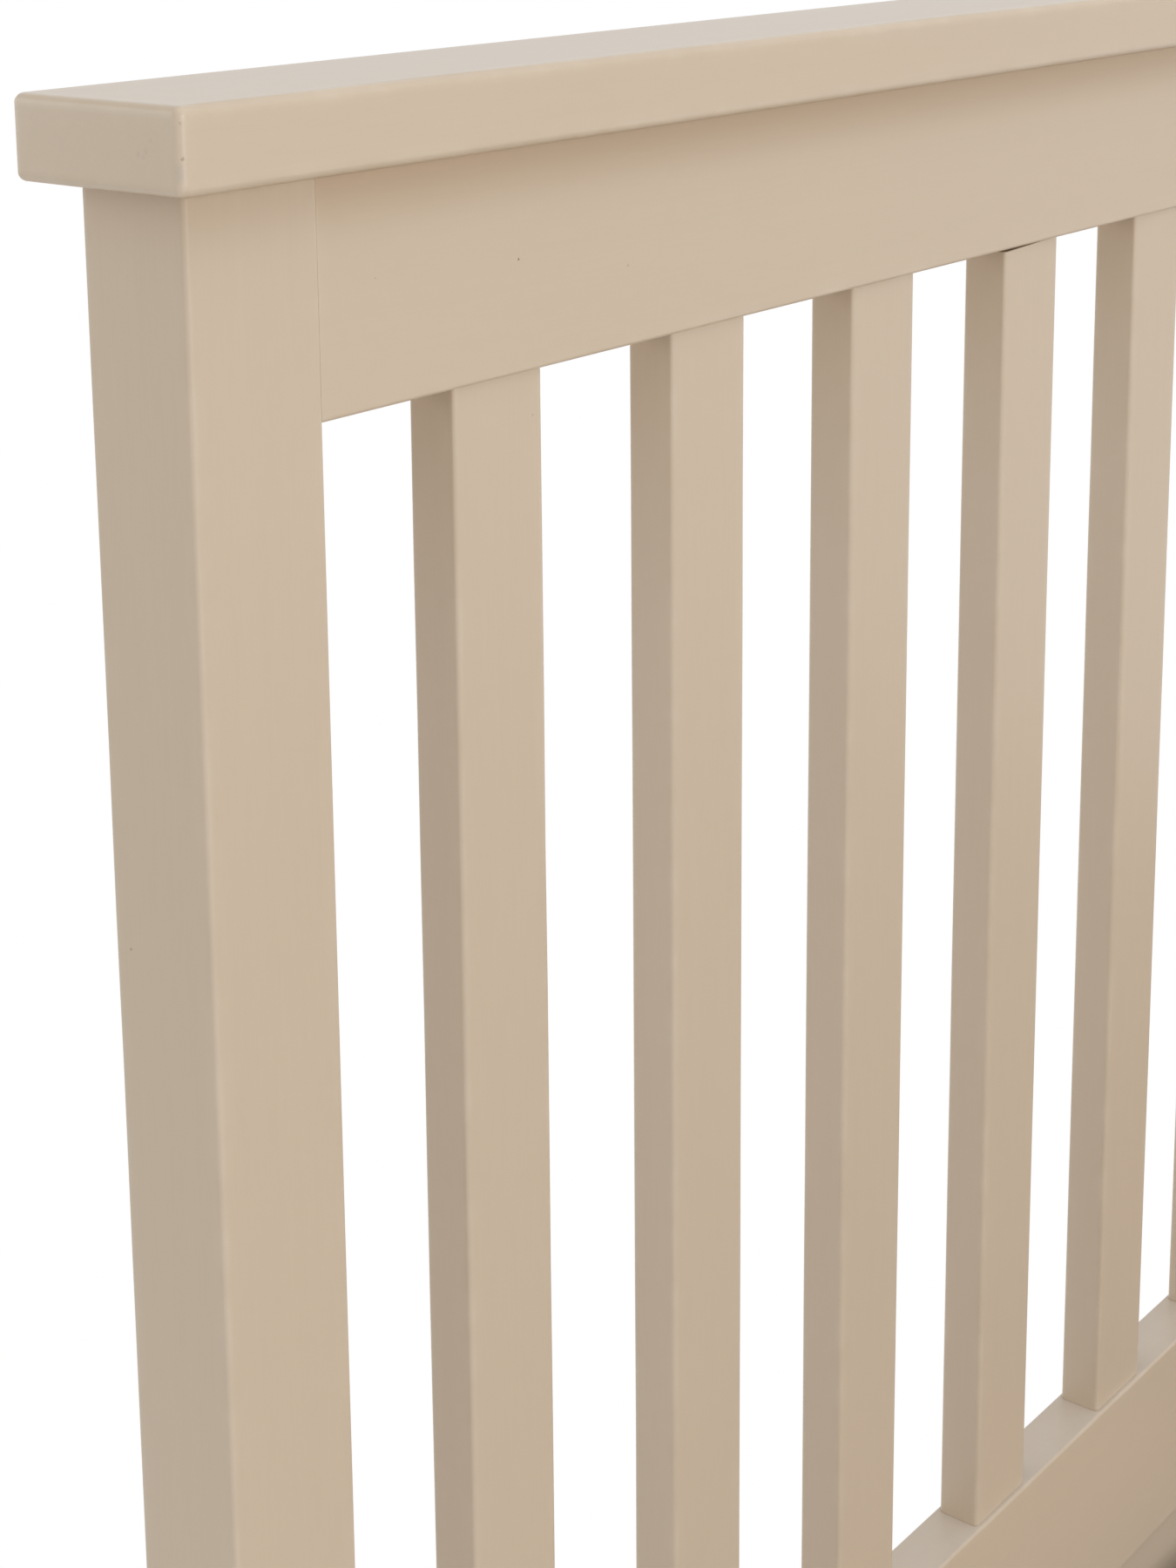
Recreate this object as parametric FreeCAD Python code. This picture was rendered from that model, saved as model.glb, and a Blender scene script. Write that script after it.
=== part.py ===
import FreeCAD, Part

import math
import os

# An ottoman bed in painted timber: slatted headboard, low footboard, deep side rails that close
# a storage box, and a sprung-slat platform that lifts from the foot end on a pair of gas-assisted
# four-bar hinges. Millimetres. X runs across the bed, +Y points to the headboard, +Z is up.
# The origin is on the floor under the middle of the bed.

# Bed frame
frame_width = 1430.0
inner_length = 1950.0
headboard_height = 1060.0
footboard_height = 420.0
post_width = 45.0
post_depth = 37.0
post_round = 1.5

# Cap rails
cap_thick = 22.0
cap_side_overhang = 11.5
cap_end_overhang = 11.0
cap_round = 2.8

# Rails, slats and panels of the headboard and footboard
top_rail_height = 65.0
rail_thick = 21.0
lower_rail_height = 87.5
bottom_rail_height = 60.0
head_slat_count = 13
head_slat_length = 512.0
head_slat_width = 38.0
head_slat_thick = 17.0
head_slat_end_gap = 53.4
head_slat_setback = 2.1
head_slat_round = 1.0
panel_thick = 9.0
panel_recess = 6.0

# Side rails and the storage floor
side_rail_thick = 25.0
side_rail_height = 325.0
side_rail_inset = 5.0
rail_floor_gap = 45.0
ledge_width = 24.0
ledge_height = 21.0
floor_thick = 6.0
floor_clearance = 1.0
beam_width = 45.0
beam_height = 40.0
foot_count = 3
foot_radius = 20.0
foot_end_inset = 330.0
glide_radius = 14.0
glide_thick = 4.0

# Bed bolts and barrel nuts
bolt_radius = 4.0
bolt_head_radius = 8.0
bolt_head_thick = 3.0
bolt_reach = 62.0
bolt_edge_inset = 75.0
bolt_clearance = 0.1
nut_radius = 6.0
nut_length = 16.0
nut_setback = 45.0

# Lifting platform
platform_height = 300.0
tube_size = 30.0
tube_wall = 1.5
platform_head_gap = 14.0
platform_foot_gap = 24.0
spring_slat_rows = 13
spring_slat_width = 53.0
spring_slat_thick = 8.0
spring_slat_bow = 12.0
holder_length = 32.0
holder_side = 4.5
holder_roof = 3.5
holder_floor = 5.5
holder_grip = 20.0
holder_end_inset = 4.0
slot_clearance = 0.3
slot_headroom = 3.0
bumper_length = 60.0
bumper_height = 42.0
bumper_overlap = 22.0
bumper_foot_inset = 66.0
bumper_gap = 0.5

# Mattress stop bar and lift strap
stop_radius = 5.0
stop_width = 500.0
stop_rise = 85.0
stop_bend = 30.0
stop_foot_inset = 13.0
strap_width = 20.0
strap_thick = 2.5
strap_span = 130.0
strap_rise = 46.0
strap_tab = 26.0
strap_foot_inset = 1.0
strap_screw_radius = 4.5
strap_screw_thick = 1.8

# Lift hinge layers, counted inwards from the side rail
plate_thick = 3.0
arm_thick = 5.0
bracket_thick = 4.0
layer_gap = 1.5
arm_half_width = 14.0
plate_margin = 20.0
bracket_margin = 16.0
bracket_back_reach = 25.0
bracket_front_reach = 18.0
pin_radius = 5.0
pin_collar_radius = 8.0
pin_head_thick = 3.0
pin_washer_thick = 0.9
pin_clearance = 0.06
loose_clearance = 1.4
face_clearance = 0.3
stud_radius = 4.0
stud_collar_radius = 7.0
screw_radius = 2.5
screw_head_radius = 5.0
screw_length = 18.0
screw_clearance = 0.05
screw_line_shares = (0.2, 0.5, 0.8)

# Hinge pivots on the side rail: distance from the headboard's face, height above the storage floor
long_arm_base = (747.0, 131.0)
short_arm_base = (860.0, 28.0)
strut_base = (609.0, 28.0)
plate_corner_rise = 90.0

# Hinge pivots on the platform: distance from the headboard's face, drop below the platform
long_arm_top = (454.0, 24.0)
short_arm_top = (481.0, 72.0)
strut_top = (393.0, 45.0)

# Gas struts
strut_radius = 10.0
strut_wall = 2.0
strut_offset = 18.5
rod_radius = 4.0
eye_radius = 9.0
eye_width = 10.0
cylinder_start = 14.0
rod_show = 47.0
cylinder_cap = 7.0
piston_length = 10.0
piston_start = 34.0
piston_clearance = 0.1
gland_clearance = 0.08

# Every cut runs this far past the face that it leaves
overrun = 2.0

# Levels and places that follow from the sizes above
half_width = frame_width / 2
half_length = inner_length / 2
rail_outer_x = half_width - side_rail_inset
rail_inner_x = rail_outer_x - side_rail_thick
post_inner_x = half_width - post_width
head_cap_bottom = headboard_height - cap_thick
foot_cap_bottom = footboard_height - cap_thick
top_rail_bottom = head_cap_bottom - top_rail_height
lower_rail_top = top_rail_bottom - head_slat_length
lower_rail_bottom = lower_rail_top - lower_rail_height
bottom_rail_top = rail_floor_gap + bottom_rail_height
head_slat_run = (post_inner_x - head_slat_end_gap) * 2 - head_slat_width
head_slat_pitch = head_slat_run / (head_slat_count - 1)
side_rail_top = rail_floor_gap + side_rail_height
ledge_top = rail_floor_gap + ledge_height
floor_top = ledge_top + floor_thick
beam_bottom = ledge_top - beam_height
plate_inner_x = rail_inner_x - plate_thick
long_arm_outer_x = plate_inner_x - layer_gap
long_arm_inner_x = long_arm_outer_x - arm_thick
short_arm_outer_x = long_arm_inner_x - layer_gap
short_arm_inner_x = short_arm_outer_x - arm_thick
bracket_outer_x = short_arm_inner_x - layer_gap
tube_outer_x = bracket_outer_x - bracket_thick
tube_inner_x = tube_outer_x - tube_size
tube_top = platform_height + tube_size
holder_width = spring_slat_width + holder_side * 2
holder_height = holder_floor + spring_slat_thick + slot_headroom + holder_roof
strut_x = tube_outer_x - strut_offset
eye_outer_x = strut_x + eye_width / 2
eye_inner_x = strut_x - eye_width / 2
platform_head_y = half_length - platform_head_gap
platform_foot_y = platform_foot_gap - half_length

X_AXIS = FreeCAD.Vector(1, 0, 0)
Y_AXIS = FreeCAD.Vector(0, 1, 0)
Z_AXIS = FreeCAD.Vector(0, 0, 1)
LEFT = -1
RIGHT = 1
SIDES = ((LEFT, "left"), (RIGHT, "right"))


def box(xs, ys, zs):
    """A box between two corners, each pair of limits given in any order."""
    (x0, x1), (y0, y1), (z0, z1) = sorted(xs), sorted(ys), sorted(zs)
    return Part.makeBox(x1 - x0, y1 - y0, z1 - z0, FreeCAD.Vector(x0, y0, z0))


def soften(shape, radius, axis):
    """Rounds the straight edges of a shape that run along an axis."""
    edges = [e for e in shape.Edges if abs(abs(e.tangentAt(e.FirstParameter).dot(axis)) - 1) < 1e-6]
    return shape.makeFillet(radius, edges)


def pin_x(radius, xs, y, z):
    """A round pin along X between two x limits, given in any order."""
    x0, x1 = sorted(xs)
    return Part.makeCylinder(radius, x1 - x0, FreeCAD.Vector(x0, y, z), X_AXIS)


def pin_y(radius, ys, x, z):
    """A round pin along Y between two y limits, given in any order."""
    y0, y1 = sorted(ys)
    return Part.makeCylinder(radius, y1 - y0, FreeCAD.Vector(x, y0, z), Y_AXIS)


def base_spot(pivot):
    """The (y, z) place of a pivot on the side rail."""
    return half_length - pivot[0], floor_top + pivot[1]


def top_spot(pivot):
    """The (y, z) place of a pivot on the platform."""
    return half_length - pivot[0], platform_height - pivot[1]


def between(start, end, share):
    """The place at a share of the way from one (y, z) place to another."""
    return start[0] + (end[0] - start[0]) * share, start[1] + (end[1] - start[1]) * share


def lay_along(shape, x, start, end):
    """Moves a shape built along +Z from the origin so that it runs from start towards end at x."""
    turn = math.degrees(math.atan2(start[0] - end[0], end[1] - start[1]))
    placed = shape.copy()
    placed.Placement = FreeCAD.Placement(
        FreeCAD.Vector(x, start[0], start[1]), FreeCAD.Rotation(X_AXIS, turn)
    )
    return placed


def distance(start, end):
    """The length between two (y, z) places."""
    return math.hypot(end[0] - start[0], end[1] - start[1])


def save(name, shapes):
    """Writes one node: a solid, or a group of separate solids."""
    shape = Part.makeCompound(shapes) if isinstance(shapes, list) else shapes
    shape.exportStep(os.path.join("parts", name + ".step"))
    print(name, len(shape.Solids), round(shape.Volume))


def tube(xs, ys, zs, along):
    """A square tube with its ends open, running along X or Y."""
    inner = [(low + tube_wall, high - tube_wall) for low, high in (sorted(xs), sorted(ys), sorted(zs))]
    index = 0 if along == X_AXIS else 1
    low, high = sorted((xs, ys)[index])
    inner[index] = (low - overrun, high + overrun)
    return box(xs, ys, zs).cut(box(*inner))


def end_frame(facing, cap_bottom):
    """The (near, far) y limits of rails, panel, posts and cap at the head (+1) or foot (-1) end."""
    face = facing * half_length
    return {
        "rail": (face, face + facing * rail_thick),
        "panel": (face + facing * panel_recess, face + facing * (panel_recess + panel_thick)),
        "post": (face, face + facing * post_depth),
        "cap": (face - facing * cap_side_overhang, face + facing * (post_depth + cap_side_overhang)),
        "cap_z": (cap_bottom, cap_bottom + cap_thick),
    }


def post(side, places, cap_bottom, facing):
    """A square post with a bolt hole for each bed bolt of its side rail."""
    xs = (side * half_width, side * post_inner_x)
    solid = soften(box(xs, places["post"], (glide_thick, cap_bottom)), post_round, Z_AXIS)
    for z in bolt_levels():
        ys = (facing * (half_length - overrun), facing * (half_length + post_depth + overrun))
        solid = solid.cut(pin_y(bolt_radius + bolt_clearance, ys, side * bolt_x(), z))
    return solid


def cap_rail(places):
    """The cap rail that lies over the posts and the top rail, with all its edges rounded."""
    reach = half_width + cap_end_overhang
    solid = box((-reach, reach), places["cap"], places["cap_z"])
    return solid.makeFillet(cap_round, solid.Edges)


def cross_piece(ys, zs):
    """A rail or panel that runs from post to post."""
    return box((-post_inner_x, post_inner_x), ys, zs)


def head_slat(index):
    """One upright slat of the headboard."""
    x = (index - (head_slat_count - 1) / 2) * head_slat_pitch
    front = half_length + head_slat_setback
    solid = box(
        (x - head_slat_width / 2, x + head_slat_width / 2),
        (front, front + head_slat_thick),
        (lower_rail_top, top_rail_bottom),
    )
    return soften(solid, head_slat_round, Z_AXIS)


def bolt_levels():
    """Heights of the two bed bolts at each end of a side rail."""
    return rail_floor_gap + bolt_edge_inset, side_rail_top - bolt_edge_inset


def bolt_x():
    """Distance of the bed bolts from the middle of the bed."""
    return (rail_inner_x + rail_outer_x) / 2


def bed_bolt(side, facing, z):
    """A flat-headed bolt from outside the post into the end of the side rail."""
    outer = half_length + post_depth
    shank = pin_y(bolt_radius, (facing * (half_length - bolt_reach), facing * outer), side * bolt_x(), z)
    head = pin_y(bolt_head_radius, (facing * outer, facing * (outer + bolt_head_thick)), side * bolt_x(), z)
    return shank.fuse(head).removeSplitter()


def barrel_nut(side, facing, z):
    """A cross dowel in the side rail, with the hole that its bolt screws into."""
    y = facing * (half_length - nut_setback)
    solid = pin_x(nut_radius, (side * rail_inner_x, side * (rail_inner_x + nut_length)), y, z)
    hole = (y - nut_radius - overrun, y + nut_radius + overrun)
    return solid.cut(pin_y(bolt_radius + bolt_clearance, hole, side * bolt_x(), z))


def plate_screw_spots():
    """The (y, z) places of the screws that hold a hinge plate to its side rail."""
    upper = (base_spot(short_arm_base)[0], base_spot(short_arm_base)[1] + plate_corner_rise)
    lower_line = [between(base_spot(strut_base), base_spot(short_arm_base), s) for s in screw_line_shares]
    upper_line = [between(base_spot(strut_base), base_spot(long_arm_base), s) for s in screw_line_shares[:-1]]
    return lower_line + upper_line + [between(base_spot(long_arm_base), upper, screw_line_shares[1])]


def side_rail(side):
    """A deep side rail with bolt holes in its ends and pilot holes for the hinge plate."""
    solid = box(
        (side * rail_inner_x, side * rail_outer_x),
        (-half_length, half_length),
        (rail_floor_gap, side_rail_top),
    )
    for facing in (-1, 1):
        for z in bolt_levels():
            ys = (facing * (half_length - bolt_reach - overrun), facing * (half_length + overrun))
            solid = solid.cut(pin_y(bolt_radius + bolt_clearance, ys, side * bolt_x(), z))
            xs = (side * (rail_inner_x - overrun), side * (rail_inner_x + nut_length))
            y = facing * (half_length - nut_setback)
            solid = solid.cut(pin_x(nut_radius + bolt_clearance, xs, y, z))
    for y, z in plate_screw_spots():
        xs = (side * (rail_inner_x - overrun), side * (plate_inner_x + screw_length + screw_clearance))
        solid = solid.cut(pin_x(screw_radius + screw_clearance, xs, y, z))
    return solid


def outer_chain(points):
    """One side of the loop drawn tight around (y, z) points, which come sorted along y."""
    chain = []
    for y, z in points:
        while len(chain) > 1:
            (y0, z0), (y1, z1) = chain[-2:]
            if (y1 - y0) * (z - z0) > (z1 - z0) * (y - y0):
                break
            chain.pop()
        chain.append((y, z))
    return chain[:-1]


def plate_from(points, margin, xs):
    """A flat plate across X: the loop drawn tight around (y, z) points, widened by a rounded margin."""
    x0, x1 = sorted(xs)
    ordered = sorted(points)
    loop = outer_chain(ordered) + outer_chain(ordered[::-1])
    corners = [FreeCAD.Vector(x0, y, z) for y, z in loop]
    face = Part.Face(Part.makePolygon(corners + corners[:1]))
    return face.makeOffset2D(margin).extrude(FreeCAD.Vector(x1 - x0, 0, 0))


def hinge_plate(side):
    """The plate on the side rail that carries both arms and the foot of the gas strut."""
    low = base_spot(short_arm_base)
    outline = [base_spot(strut_base), low, (low[0], low[1] + plate_corner_rise), base_spot(long_arm_base)]
    xs = (side * plate_inner_x, side * rail_inner_x)
    solid = plate_from(outline, plate_margin, xs)
    cut_xs = (side * (plate_inner_x - overrun), side * (rail_inner_x + overrun))
    for y, z in plate_screw_spots():
        solid = solid.cut(pin_x(screw_head_radius + screw_clearance, cut_xs, y, z))
    pivots = ((long_arm_base, pin_radius), (short_arm_base, pin_radius), (strut_base, stud_radius))
    for pivot, radius in pivots:
        solid = solid.cut(pin_x(radius + screw_clearance, cut_xs, *base_spot(pivot)))
    return solid


def hinge_screw(side, place):
    """A countersunk screw, flush with the hinge plate, simplified to two cylinders."""
    head = pin_x(screw_head_radius, (side * plate_inner_x, side * rail_inner_x), *place)
    shank = pin_x(screw_radius, (side * plate_inner_x, side * (plate_inner_x + screw_length)), *place)
    return head.fuse(shank).removeSplitter()


def base_pins(side):
    """The pins fixed in a hinge plate: long arm, short arm with its collar, and strut stud."""
    long_pin = pin_x(pin_radius, (side * rail_inner_x, side * long_arm_inner_x), *base_spot(long_arm_base))
    head_x = short_arm_inner_x - face_clearance
    place = base_spot(short_arm_base)
    short_pin = fuse_all([
        pin_x(pin_radius, (side * rail_inner_x, side * (head_x - pin_head_thick)), *place),
        pin_x(pin_collar_radius, (side * plate_inner_x, side * (short_arm_outer_x + face_clearance)), *place),
        pin_x(pin_collar_radius, (side * head_x, side * (head_x - pin_head_thick)), *place),
    ])
    return [long_pin, short_pin, strut_stud(side, rail_inner_x, plate_inner_x, base_spot(strut_base))]


def strut_stud(side, root_x, face_x, place):
    """A stud with a collar before the strut's eye and a head beyond it."""
    head_x = eye_inner_x - face_clearance
    return fuse_all([
        pin_x(stud_radius, (side * root_x, side * (head_x - pin_head_thick)), *place),
        pin_x(stud_collar_radius, (side * face_x, side * (eye_outer_x + face_clearance)), *place),
        pin_x(stud_collar_radius, (side * head_x, side * (head_x - pin_head_thick)), *place),
    ])


def fuse_all(solids):
    """Joins touching solids into one."""
    return solids[0].multiFuse(solids[1:]).removeSplitter()


def arm(side, outer_x, start, end, start_clearance, end_clearance):
    """A flat steel arm with round ends and a pivot hole at each end."""
    length = distance(start, end)
    half = arm_thick / 2
    solid = box((-half, half), (-arm_half_width, arm_half_width), (0, length))
    for z in (0, length):
        solid = solid.fuse(pin_x(arm_half_width, (-half, half), 0, z))
    solid = solid.removeSplitter()
    for z, clearance in ((0, start_clearance), (length, end_clearance)):
        solid = solid.cut(pin_x(pin_radius + clearance, (-half - overrun, half + overrun), 0, z))
    return lay_along(solid, side * (outer_x - half), start, end)


def strut_cylinder(side):
    """The gas strut's cylinder: an eye, a hollow tube and a gland for the rod."""
    half = eye_width / 2
    start = cylinder_start
    end = distance(base_spot(strut_base), top_spot(strut_top)) - rod_show
    cylinder_length = end - start
    neck = Part.makeCylinder(half, cylinder_start + cylinder_cap)
    tube_body = Part.makeCylinder(strut_radius, cylinder_length, FreeCAD.Vector(0, 0, start))
    solid = fuse_all([pin_x(eye_radius, (-half, half), 0, 0), neck, tube_body])
    bore = Part.makeCylinder(
        strut_radius - strut_wall,
        cylinder_length - cylinder_cap - cylinder_cap,
        FreeCAD.Vector(0, 0, start + cylinder_cap),
    )
    gland = Part.makeCylinder(
        rod_radius + gland_clearance, cylinder_cap + overrun, FreeCAD.Vector(0, 0, end - cylinder_cap)
    )
    hole = pin_x(stud_radius + pin_clearance, (-half - overrun, half + overrun), 0, 0)
    solid = solid.cut(bore).cut(gland).cut(hole)
    return lay_along(solid, side * strut_x, base_spot(strut_base), top_spot(strut_top))


def strut_rod(side):
    """The gas strut's rod: a piston inside the cylinder, the rod and an eye at the top."""
    half = eye_width / 2
    length = distance(base_spot(strut_base), top_spot(strut_top))
    piston = Part.makeCylinder(
        strut_radius - strut_wall - piston_clearance, piston_length, FreeCAD.Vector(0, 0, piston_start)
    )
    shaft = Part.makeCylinder(rod_radius, length - piston_start, FreeCAD.Vector(0, 0, piston_start))
    solid = fuse_all([piston, shaft, pin_x(eye_radius, (-half, half), 0, length)])
    hole = pin_x(stud_radius + loose_clearance, (-half - overrun, half + overrun), 0, length)
    return lay_along(solid.cut(hole), side * strut_x, base_spot(strut_base), top_spot(strut_top))


def platform_bracket(side):
    """The plate welded to a side tube that carries the tops of both arms and of the strut."""
    level = tube_top - bracket_margin
    pivots = [top_spot(pivot) for pivot in (long_arm_top, short_arm_top, strut_top)]
    back = (max(pivots)[0] + bracket_back_reach - bracket_margin, level)
    front = (min(pivots)[0] - bracket_front_reach, level)
    xs = (side * tube_outer_x, side * bracket_outer_x)
    solid = plate_from(pivots + [front, back], bracket_margin, xs)
    cut_xs = (side * (tube_outer_x - overrun), side * (bracket_outer_x + overrun))
    for pivot, radius in ((long_arm_top, pin_radius), (short_arm_top, pin_radius), (strut_top, stud_radius)):
        solid = solid.cut(pin_x(radius + screw_clearance, cut_xs, *top_spot(pivot)))
    return solid


def top_pins(side):
    """The pins fixed in a platform bracket: long arm, short arm and strut stud."""
    head_x = tube_outer_x - pin_head_thick
    long_place, short_place = top_spot(long_arm_top), top_spot(short_arm_top)
    long_pin = fuse_all([
        pin_x(pin_radius, (side * long_arm_outer_x, side * head_x), *long_place),
        pin_x(pin_collar_radius, (side * (long_arm_inner_x - face_clearance), side * bracket_outer_x),
              *long_place),
        pin_x(pin_collar_radius, (side * tube_outer_x, side * head_x), *long_place),
    ])
    washer_x = short_arm_outer_x + face_clearance
    short_pin = fuse_all([
        pin_x(pin_radius, (side * (washer_x + pin_washer_thick), side * head_x), *short_place),
        pin_x(pin_collar_radius, (side * (washer_x + pin_washer_thick), side * washer_x), *short_place),
        pin_x(pin_collar_radius, (side * (short_arm_inner_x - face_clearance), side * bracket_outer_x),
              *short_place),
        pin_x(pin_collar_radius, (side * tube_outer_x, side * head_x), *short_place),
    ])
    return [long_pin, short_pin, strut_stud(side, bracket_outer_x, tube_outer_x, top_spot(strut_top))]


def spring_slat_places():
    """The y centres of the sprung slats, spread evenly over the platform."""
    first = platform_foot_y + tube_size + holder_width / 2
    last = platform_head_y - tube_size - holder_width / 2
    step = (last - first) / (spring_slat_rows - 1)
    return [first + step * row for row in range(spring_slat_rows)]


def slat_limits():
    """Distances from the middle of the bed to a sprung slat's inner and outer ends."""
    inner = holder_length - holder_grip
    outer = tube_outer_x - holder_end_inset - (holder_length - holder_grip)
    return inner, outer


def spring_slat(side, y):
    """One sprung slat: a thin board bowed upwards between its two ends."""
    inner, outer = slat_limits()
    base = tube_top + holder_floor + slot_clearance
    edges = []
    ends = []
    for level in (base, base + spring_slat_thick):
        corners = [
            FreeCAD.Vector(side * inner, y - spring_slat_width / 2, level),
            FreeCAD.Vector(side * (inner + outer) / 2, y - spring_slat_width / 2, level + spring_slat_bow),
            FreeCAD.Vector(side * outer, y - spring_slat_width / 2, level),
        ]
        edges.append(Part.Arc(*corners).toShape())
        ends.append((corners[0], corners[2]))
    edges += [Part.LineSegment(low, high).toShape() for low, high in zip(*ends)]
    face = Part.Face(Part.Wire(Part.__sortEdges__(edges)))
    return face.extrude(FreeCAD.Vector(0, spring_slat_width, 0))


def slat_holder(x_limits, y, slots):
    """A plastic holder on a tube, with a pocket for each slat end given as (inner, outer) x limits."""
    solid = box(x_limits, (y - holder_width / 2, y + holder_width / 2), (tube_top, tube_top + holder_height))
    half = spring_slat_width / 2 + slot_clearance
    floor = tube_top + holder_floor
    levels = (floor, floor + spring_slat_thick + slot_headroom)
    for xs in slots:
        solid = solid.cut(box(xs, (y - half, y + half), levels))
    return solid


def slat_holders(y):
    """The three holders of one row of slats: both sides and the shared one in the middle."""
    inner, outer = slat_limits()
    far = tube_outer_x - holder_end_inset
    solids = []
    for side in (LEFT, RIGHT):
        pocket = (side * (far - holder_length - overrun), side * (outer + slot_clearance))
        solids.append(slat_holder((side * (far - holder_length), side * far), y, [pocket]))
    pockets = [(s * (inner - slot_clearance), s * (holder_length + overrun)) for s in (LEFT, RIGHT)]
    return solids + [slat_holder((-holder_length, holder_length), y, pockets)]


def bumper(side):
    """A rubber block on the side rail that the closed platform settles on."""
    y = platform_foot_y + bumper_foot_inset
    top = platform_height - bumper_gap
    return box((side * (tube_outer_x - bumper_overlap), side * rail_inner_x),
               (y, y + bumper_length), (top - bumper_height, top))


def stop_bar():
    """The bent bar at the foot of the platform that keeps the mattress in place."""
    y = platform_foot_y + stop_foot_inset
    reach, low, top = stop_width / 2, tube_top, tube_top + stop_rise - stop_radius
    lean = stop_bend * math.sqrt(0.5)
    edges = []
    for side in (LEFT, RIGHT):
        foot = FreeCAD.Vector(side * reach, y, low)
        bend_low = FreeCAD.Vector(side * reach, y, top - stop_bend)
        bend_mid = FreeCAD.Vector(side * (reach - stop_bend + lean), y, top - stop_bend + lean)
        bend_high = FreeCAD.Vector(side * (reach - stop_bend), y, top)
        edges.append(Part.LineSegment(foot, bend_low).toShape())
        edges.append(Part.Arc(bend_low, bend_mid, bend_high).toShape())
    ends = [FreeCAD.Vector(side * (reach - stop_bend), y, top) for side in (LEFT, RIGHT)]
    edges.append(Part.LineSegment(*ends).toShape())
    path = Part.Wire(Part.__sortEdges__(edges))
    ring = Part.Wire([Part.makeCircle(stop_radius, FreeCAD.Vector(-reach, y, low), Z_AXIS)])
    return path.makePipeShell([ring], True, False)


def lift_strap():
    """A webbing pull: two flat tabs on the foot tube and an arch high enough for a hand."""
    y0 = platform_foot_y + strap_foot_inset
    half = strap_span / 2
    edges = []
    ends = []
    for inset in (0, strap_thick):
        corners = [
            FreeCAD.Vector(-half + inset, y0, tube_top),
            FreeCAD.Vector(0, y0, tube_top + strap_rise - inset),
            FreeCAD.Vector(half - inset, y0, tube_top),
        ]
        edges.append(Part.Arc(*corners).toShape())
        ends.append((corners[0], corners[2]))
    edges += [Part.LineSegment(outer, inner).toShape() for outer, inner in zip(*ends)]
    face = Part.Face(Part.Wire(Part.__sortEdges__(edges)))
    arch = face.extrude(FreeCAD.Vector(0, strap_width, 0))
    tabs = [
        box((side * (half - strap_thick), side * (half + strap_tab)), (y0, y0 + strap_width),
            (tube_top, tube_top + strap_thick))
        for side in (LEFT, RIGHT)
    ]
    return fuse_all([arch] + tabs)


def strap_screw(side):
    """A flat-headed screw on one tab of the strap, simplified to its head."""
    x = side * (strap_span + strap_tab) / 2
    place = FreeCAD.Vector(x, platform_foot_y + strap_foot_inset + strap_width / 2, tube_top + strap_thick)
    return Part.makeCylinder(strap_screw_radius, strap_screw_thick, place)


def make_headboard():
    """Posts, cap rail, rails, slats and panel of the headboard."""
    places = end_frame(1, head_cap_bottom)
    for side, name in SIDES:
        save("headboard_post_" + name, post(side, places, head_cap_bottom, 1))
    save("headboard_cap_rail", cap_rail(places))
    save("headboard_top_rail", cross_piece(places["rail"], (top_rail_bottom, head_cap_bottom)))
    save("headboard_lower_rail", cross_piece(places["rail"], (lower_rail_bottom, lower_rail_top)))
    save("headboard_panel", cross_piece(places["panel"], (bottom_rail_top, lower_rail_bottom)))
    save("headboard_bottom_rail", cross_piece(places["rail"], (rail_floor_gap, bottom_rail_top)))
    for index in range(head_slat_count):
        save("headboard_slat_%02d" % (index + 1), head_slat(index))


def make_footboard():
    """Posts, cap rail, rails and panel of the low footboard."""
    places = end_frame(-1, foot_cap_bottom)
    for side, name in SIDES:
        save("footboard_post_" + name, post(side, places, foot_cap_bottom, -1))
    rail_bottom = foot_cap_bottom - top_rail_height
    save("footboard_cap_rail", cap_rail(places))
    save("footboard_top_rail", cross_piece(places["rail"], (rail_bottom, foot_cap_bottom)))
    save("footboard_panel", cross_piece(places["panel"], (bottom_rail_top, rail_bottom)))
    save("footboard_bottom_rail", cross_piece(places["rail"], (rail_floor_gap, bottom_rail_top)))


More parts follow.
